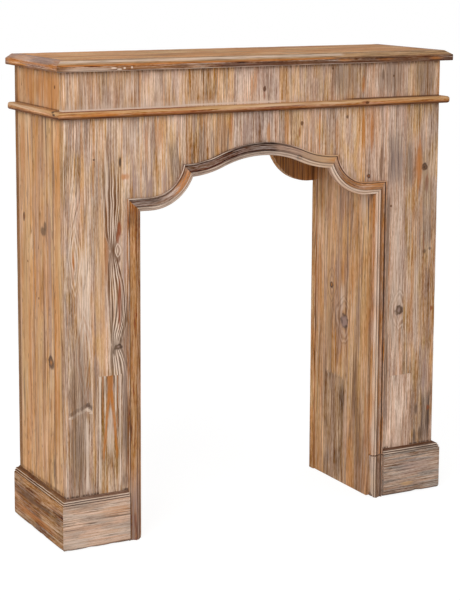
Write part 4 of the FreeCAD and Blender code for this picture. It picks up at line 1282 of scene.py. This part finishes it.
class SURROUND_OT_astragal(bpy.types.Operator):
    """Bullnose strip under the frieze"""
    bl_idname = "surround.astragal"
    bl_label = "Astragal"

    def execute(self, context):
        cracked = ASTRAGAL_LOOK._replace(features=ASTRAGAL_LOOK.features + ASTRAGAL_SPLIT)
        rows = ("front", ASTRAGAL_LOOK, BAND_FRONT), ("left", cracked, BAND_SIDE), ("right", ASTRAGAL_LOOK, BAND_SIDE)
        for seed, (name, look, axes) in enumerate(rows, start=ASTRAGAL_GRAIN):
            dress_board(f"astragal_{name}", "astragal_wood", look, axes, seed)
        return {"FINISHED"}


class SURROUND_OT_arch_moulding(bpy.types.Operator):
    """Beaded moulding round the opening, spun along the arch"""
    bl_idname = "surround.arch_moulding"
    bl_label = "Arch moulding"

    def execute(self, context):
        rows = (("left_jamb", jamb_strip, (0.0,), jamb_run), ("left_lobe", lobe_strip, (), lobe_run),
                ("left_arch", arch_strip, (), arch_run), ("right_arch", arch_strip, (), arch_run),
                ("right_lobe", lobe_strip, (), lobe_run), ("right_jamb", jamb_strip, (JAMB_FOOT,), jamb_run),
                ("right_foot", jamb_strip, (0.0, FOOT_TOP), jamb_run))
        for seed, (name, draw, ends, run_of) in enumerate(rows, start=MOULDING_GRAIN):
            node = f"moulding_{name}"
            item = make_strip(node, draw, ends, run_of, seed)
            grain = ARCH_GRAIN if name.endswith("arch") else seed
            dress(item, node, moulding_wood(f"{node}_wood", *MOULDING_LOOKS[name], grain))
        return {"FINISHED"}


class SURROUND_OT_plinth(bpy.types.Operator):
    """Plinth boards round each leg's foot"""
    bl_idname = "surround.plinth"
    bl_label = "Plinth"

    def execute(self, context):
        for side, front_look in (("left", PLINTH_LOOK), ("right", RIGHT_PLINTH_LOOK)):
            rows = ("front", front_look, BAND_FRONT), ("side", PLINTH_SIDE_LOOK, BAND_SIDE)
            for seed, (place, look, axes) in enumerate(rows, start=PLINTH_GRAIN[side]):
                node = f"plinth_{side}_{place}"
                item = make_plinth(node, place == "front", side == "right", seed)
                dress(item, node, wood(f"{node}_wood", look, axes, seed))
        return {"FINISHED"}


def repaint(node, material):
    """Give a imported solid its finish, and leave its shape."""
    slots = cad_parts[node].data.materials
    slots.clear()
    slots.append(material)


class SURROUND_OT_inner_battens(bpy.types.Operator):
    """Bare battens inside the legs and header, and the screws up into the mantel"""
    bl_idname = "surround.inner_battens"
    bl_label = "Inner battens"

    def execute(self, context):
        uprights = [f"{side}_leg_batten_{place}" for side in ("left", "right") for place in ("outer", "inner")]
        rows = [(name, UPRIGHT_FRONT) for name in uprights]
        rows += [(f"header_batten_{place}", BAND_FRONT) for place in ("front", "rear")]
        rows += [(f"{side}_leg_cleat", BAND_SIDE) for side in ("left", "right")]
        for seed, (name, axes) in enumerate(rows, start=BATTEN_GRAIN):
            repaint(name, wood(f"{name}_batten_wood", BATTEN_LOOK, axes, seed))
        repaint("mantel_screws", zinc_plate())
        return {"FINISHED"}


def zinc_plate():
    """Dull plated steel with a little mottling."""
    made, web = blank_material("zinc_plate")
    mottle = web.noise(web.wire("ShaderNodeTexCoord", (), "Object"), 3, ZINC_MOTTLE)
    tone = web.blend(mottle.rise(0.35, 0.65), colour("zinc"), colour("mauve"))
    shader = web.wire("ShaderNodeBsdfPrincipled", {
        "Base Color": tone, "Metallic": 1.0, "Roughness": mottle.rise(0.3, 0.7, 0.35, 0.55)}, 0)
    web.node("ShaderNodeOutputMaterial", {"Surface": shader})
    return made


class SURROUND_OT_stage(bpy.types.Operator):
    """Pale floor, soft studio light and the camera"""
    bl_idname = "surround.stage"
    bl_label = "Stage"

    def execute(self, context):
        make_world()
        make_floor()
        make_lamps()
        make_camera()
        context.scene.view_settings.view_transform = "Standard"
        return {"FINISHED"}


WHITE, ROOM_LIGHT, FLOOR_HALF, FLOOR_GLOW, FLOOR_GLOW_SHARE, ZINC_MOTTLE = (1, 1, 1, 1), 0.58, 12, 1.12, 0.8, 900
# Each lamp's place and target in metres, the side of its square and its power in watts
LAMPS = {"key": ((-2.4, -2.2, 2.0), (-0.1, 0, 0.55), 1.6, 62), "fill": ((2.4, -3.0, 1.6), (0, 0, 0.5), 2.6, 14)}
CAMERA_SPOT, SENSOR_WIDTH = (-1.71876, -3.17323, 1.21376), 36
CAMERA_AZIMUTH, CAMERA_DIP, CAMERA_ROLL = -28.286, 8.429, 0.283


def seen_directly(web):
    """1 for rays that show the background: from the camera, in gloss and through glass."""
    path = web.node("ShaderNodeLightPath").outputs
    return web.most(*[Wire(web, path[f"Is {kind} Ray"]) for kind in ("Camera", "Glossy", "Transmission")])


def make_world():
    world = bpy.data.worlds.new("studio")
    bpy.context.scene.world = world
    web = empty_web(world)
    light = web.wire("ShaderNodeBackground", {"Color": WHITE, "Strength": ROOM_LIGHT}, 0)
    white = web.wire("ShaderNodeBackground", {"Color": WHITE, "Strength": 1.0}, 0)
    both = web.wire("ShaderNodeMixShader", {0: seen_directly(web), 1: light, 2: white}, 0)
    web.node("ShaderNodeOutputWorld", {"Surface": both})


def make_floor():
    mesh = bmesh.new()
    bmesh.ops.create_grid(mesh, x_segments=1, y_segments=1, size=FLOOR_HALF)
    floor = to_object("studio_floor", mesh)
    made, web = blank_material("pale_floor")
    matt = web.wire("ShaderNodeBsdfDiffuse", {"Color": colour("floor")}, 0)
    glow = web.wire("ShaderNodeEmission", {"Color": WHITE, "Strength": FLOOR_GLOW}, 0)
    both = web.wire("ShaderNodeMixShader", {0: seen_directly(web) * FLOOR_GLOW_SHARE, 1: matt, 2: glow}, 0)
    web.node("ShaderNodeOutputMaterial", {"Surface": both})
    floor.data.materials.append(made)


def make_lamps():
    for name, (spot, target, side, power) in LAMPS.items():
        data = bpy.data.lights.new(name, "AREA")
        data.shape = "SQUARE"
        data.size = side
        data.energy = power
        lamp = bpy.data.objects.new(name, data)
        lamp.location = spot
        lamp.rotation_euler = (Vector(target) - Vector(spot)).to_track_quat("-Z", "Y").to_euler()
        bpy.context.scene.collection.objects.link(lamp)


def make_camera():
    """A long lens from the front left, dropped so that the uprights stay upright."""
    turn, dip, roll = (math.radians(angle) for angle in (CAMERA_AZIMUTH, CAMERA_DIP, CAMERA_ROLL))
    ahead = Vector((-math.sin(turn) * math.cos(dip), math.cos(turn) * math.cos(dip), -math.sin(dip)))
    right = Vector((math.cos(turn), math.sin(turn), 0))
    up = right.cross(ahead)
    level = right * math.cos(roll) + up * math.sin(roll)
    upright = up * math.cos(roll) - right * math.sin(roll)
    data = bpy.data.cameras.new("camera")
    data.sensor_width = SENSOR_WIDTH
    data.lens = sizes().camera_lens
    data.shift_y = sizes().camera_drop
    item = bpy.data.objects.new("camera", data)
    turned = Matrix((level, upright, -ahead)).transposed().to_4x4()
    item.matrix_world = Matrix.Translation(CAMERA_SPOT) @ turned
    bpy.context.scene.collection.objects.link(item)
    bpy.context.scene.camera = item


STEPS = (SURROUND_OT_front_panel, SURROUND_OT_rear_panel, SURROUND_OT_side_panels, SURROUND_OT_jamb_linings,
         SURROUND_OT_mantel, SURROUND_OT_astragal, SURROUND_OT_arch_moulding, SURROUND_OT_plinth,
         SURROUND_OT_inner_battens, SURROUND_OT_stage)


class SURROUND_PT_sidebar(bpy.types.Panel):
    """Sizes, colours and steps of the surround"""
    bl_idname = "SURROUND_PT_sidebar"
    bl_label = "Fireplace surround"
    bl_space_type = "VIEW_3D"
    bl_region_type = "UI"
    bl_category = "Surround"

    def draw(self, context):
        for group in (context.scene.surround_sizes, context.scene.surround_colours):
            column = self.layout.column(align=True)
            for name in group.bl_rna.properties.keys():
                if name not in ("rna_type", "name"):
                    column.prop(group, name)
        for step in STEPS:
            self.layout.operator(step.bl_idname)


CLASSES = (SurroundSizes, SurroundColours, *STEPS, SURROUND_PT_sidebar)


def register():
    for item in CLASSES:
        bpy.utils.register_class(item)
    bpy.types.Scene.surround_sizes = PointerProperty(type=SurroundSizes)
    bpy.types.Scene.surround_colours = PointerProperty(type=SurroundColours)


def unregister():
    del bpy.types.Scene.surround_colours
    del bpy.types.Scene.surround_sizes
    for item in reversed(CLASSES):
        bpy.utils.unregister_class(item)


def main():
    register()
    for step in STEPS:
        group, name = step.bl_idname.split(".")
        getattr(getattr(bpy.ops, group), name)()


if __name__ == "__main__":
    main()
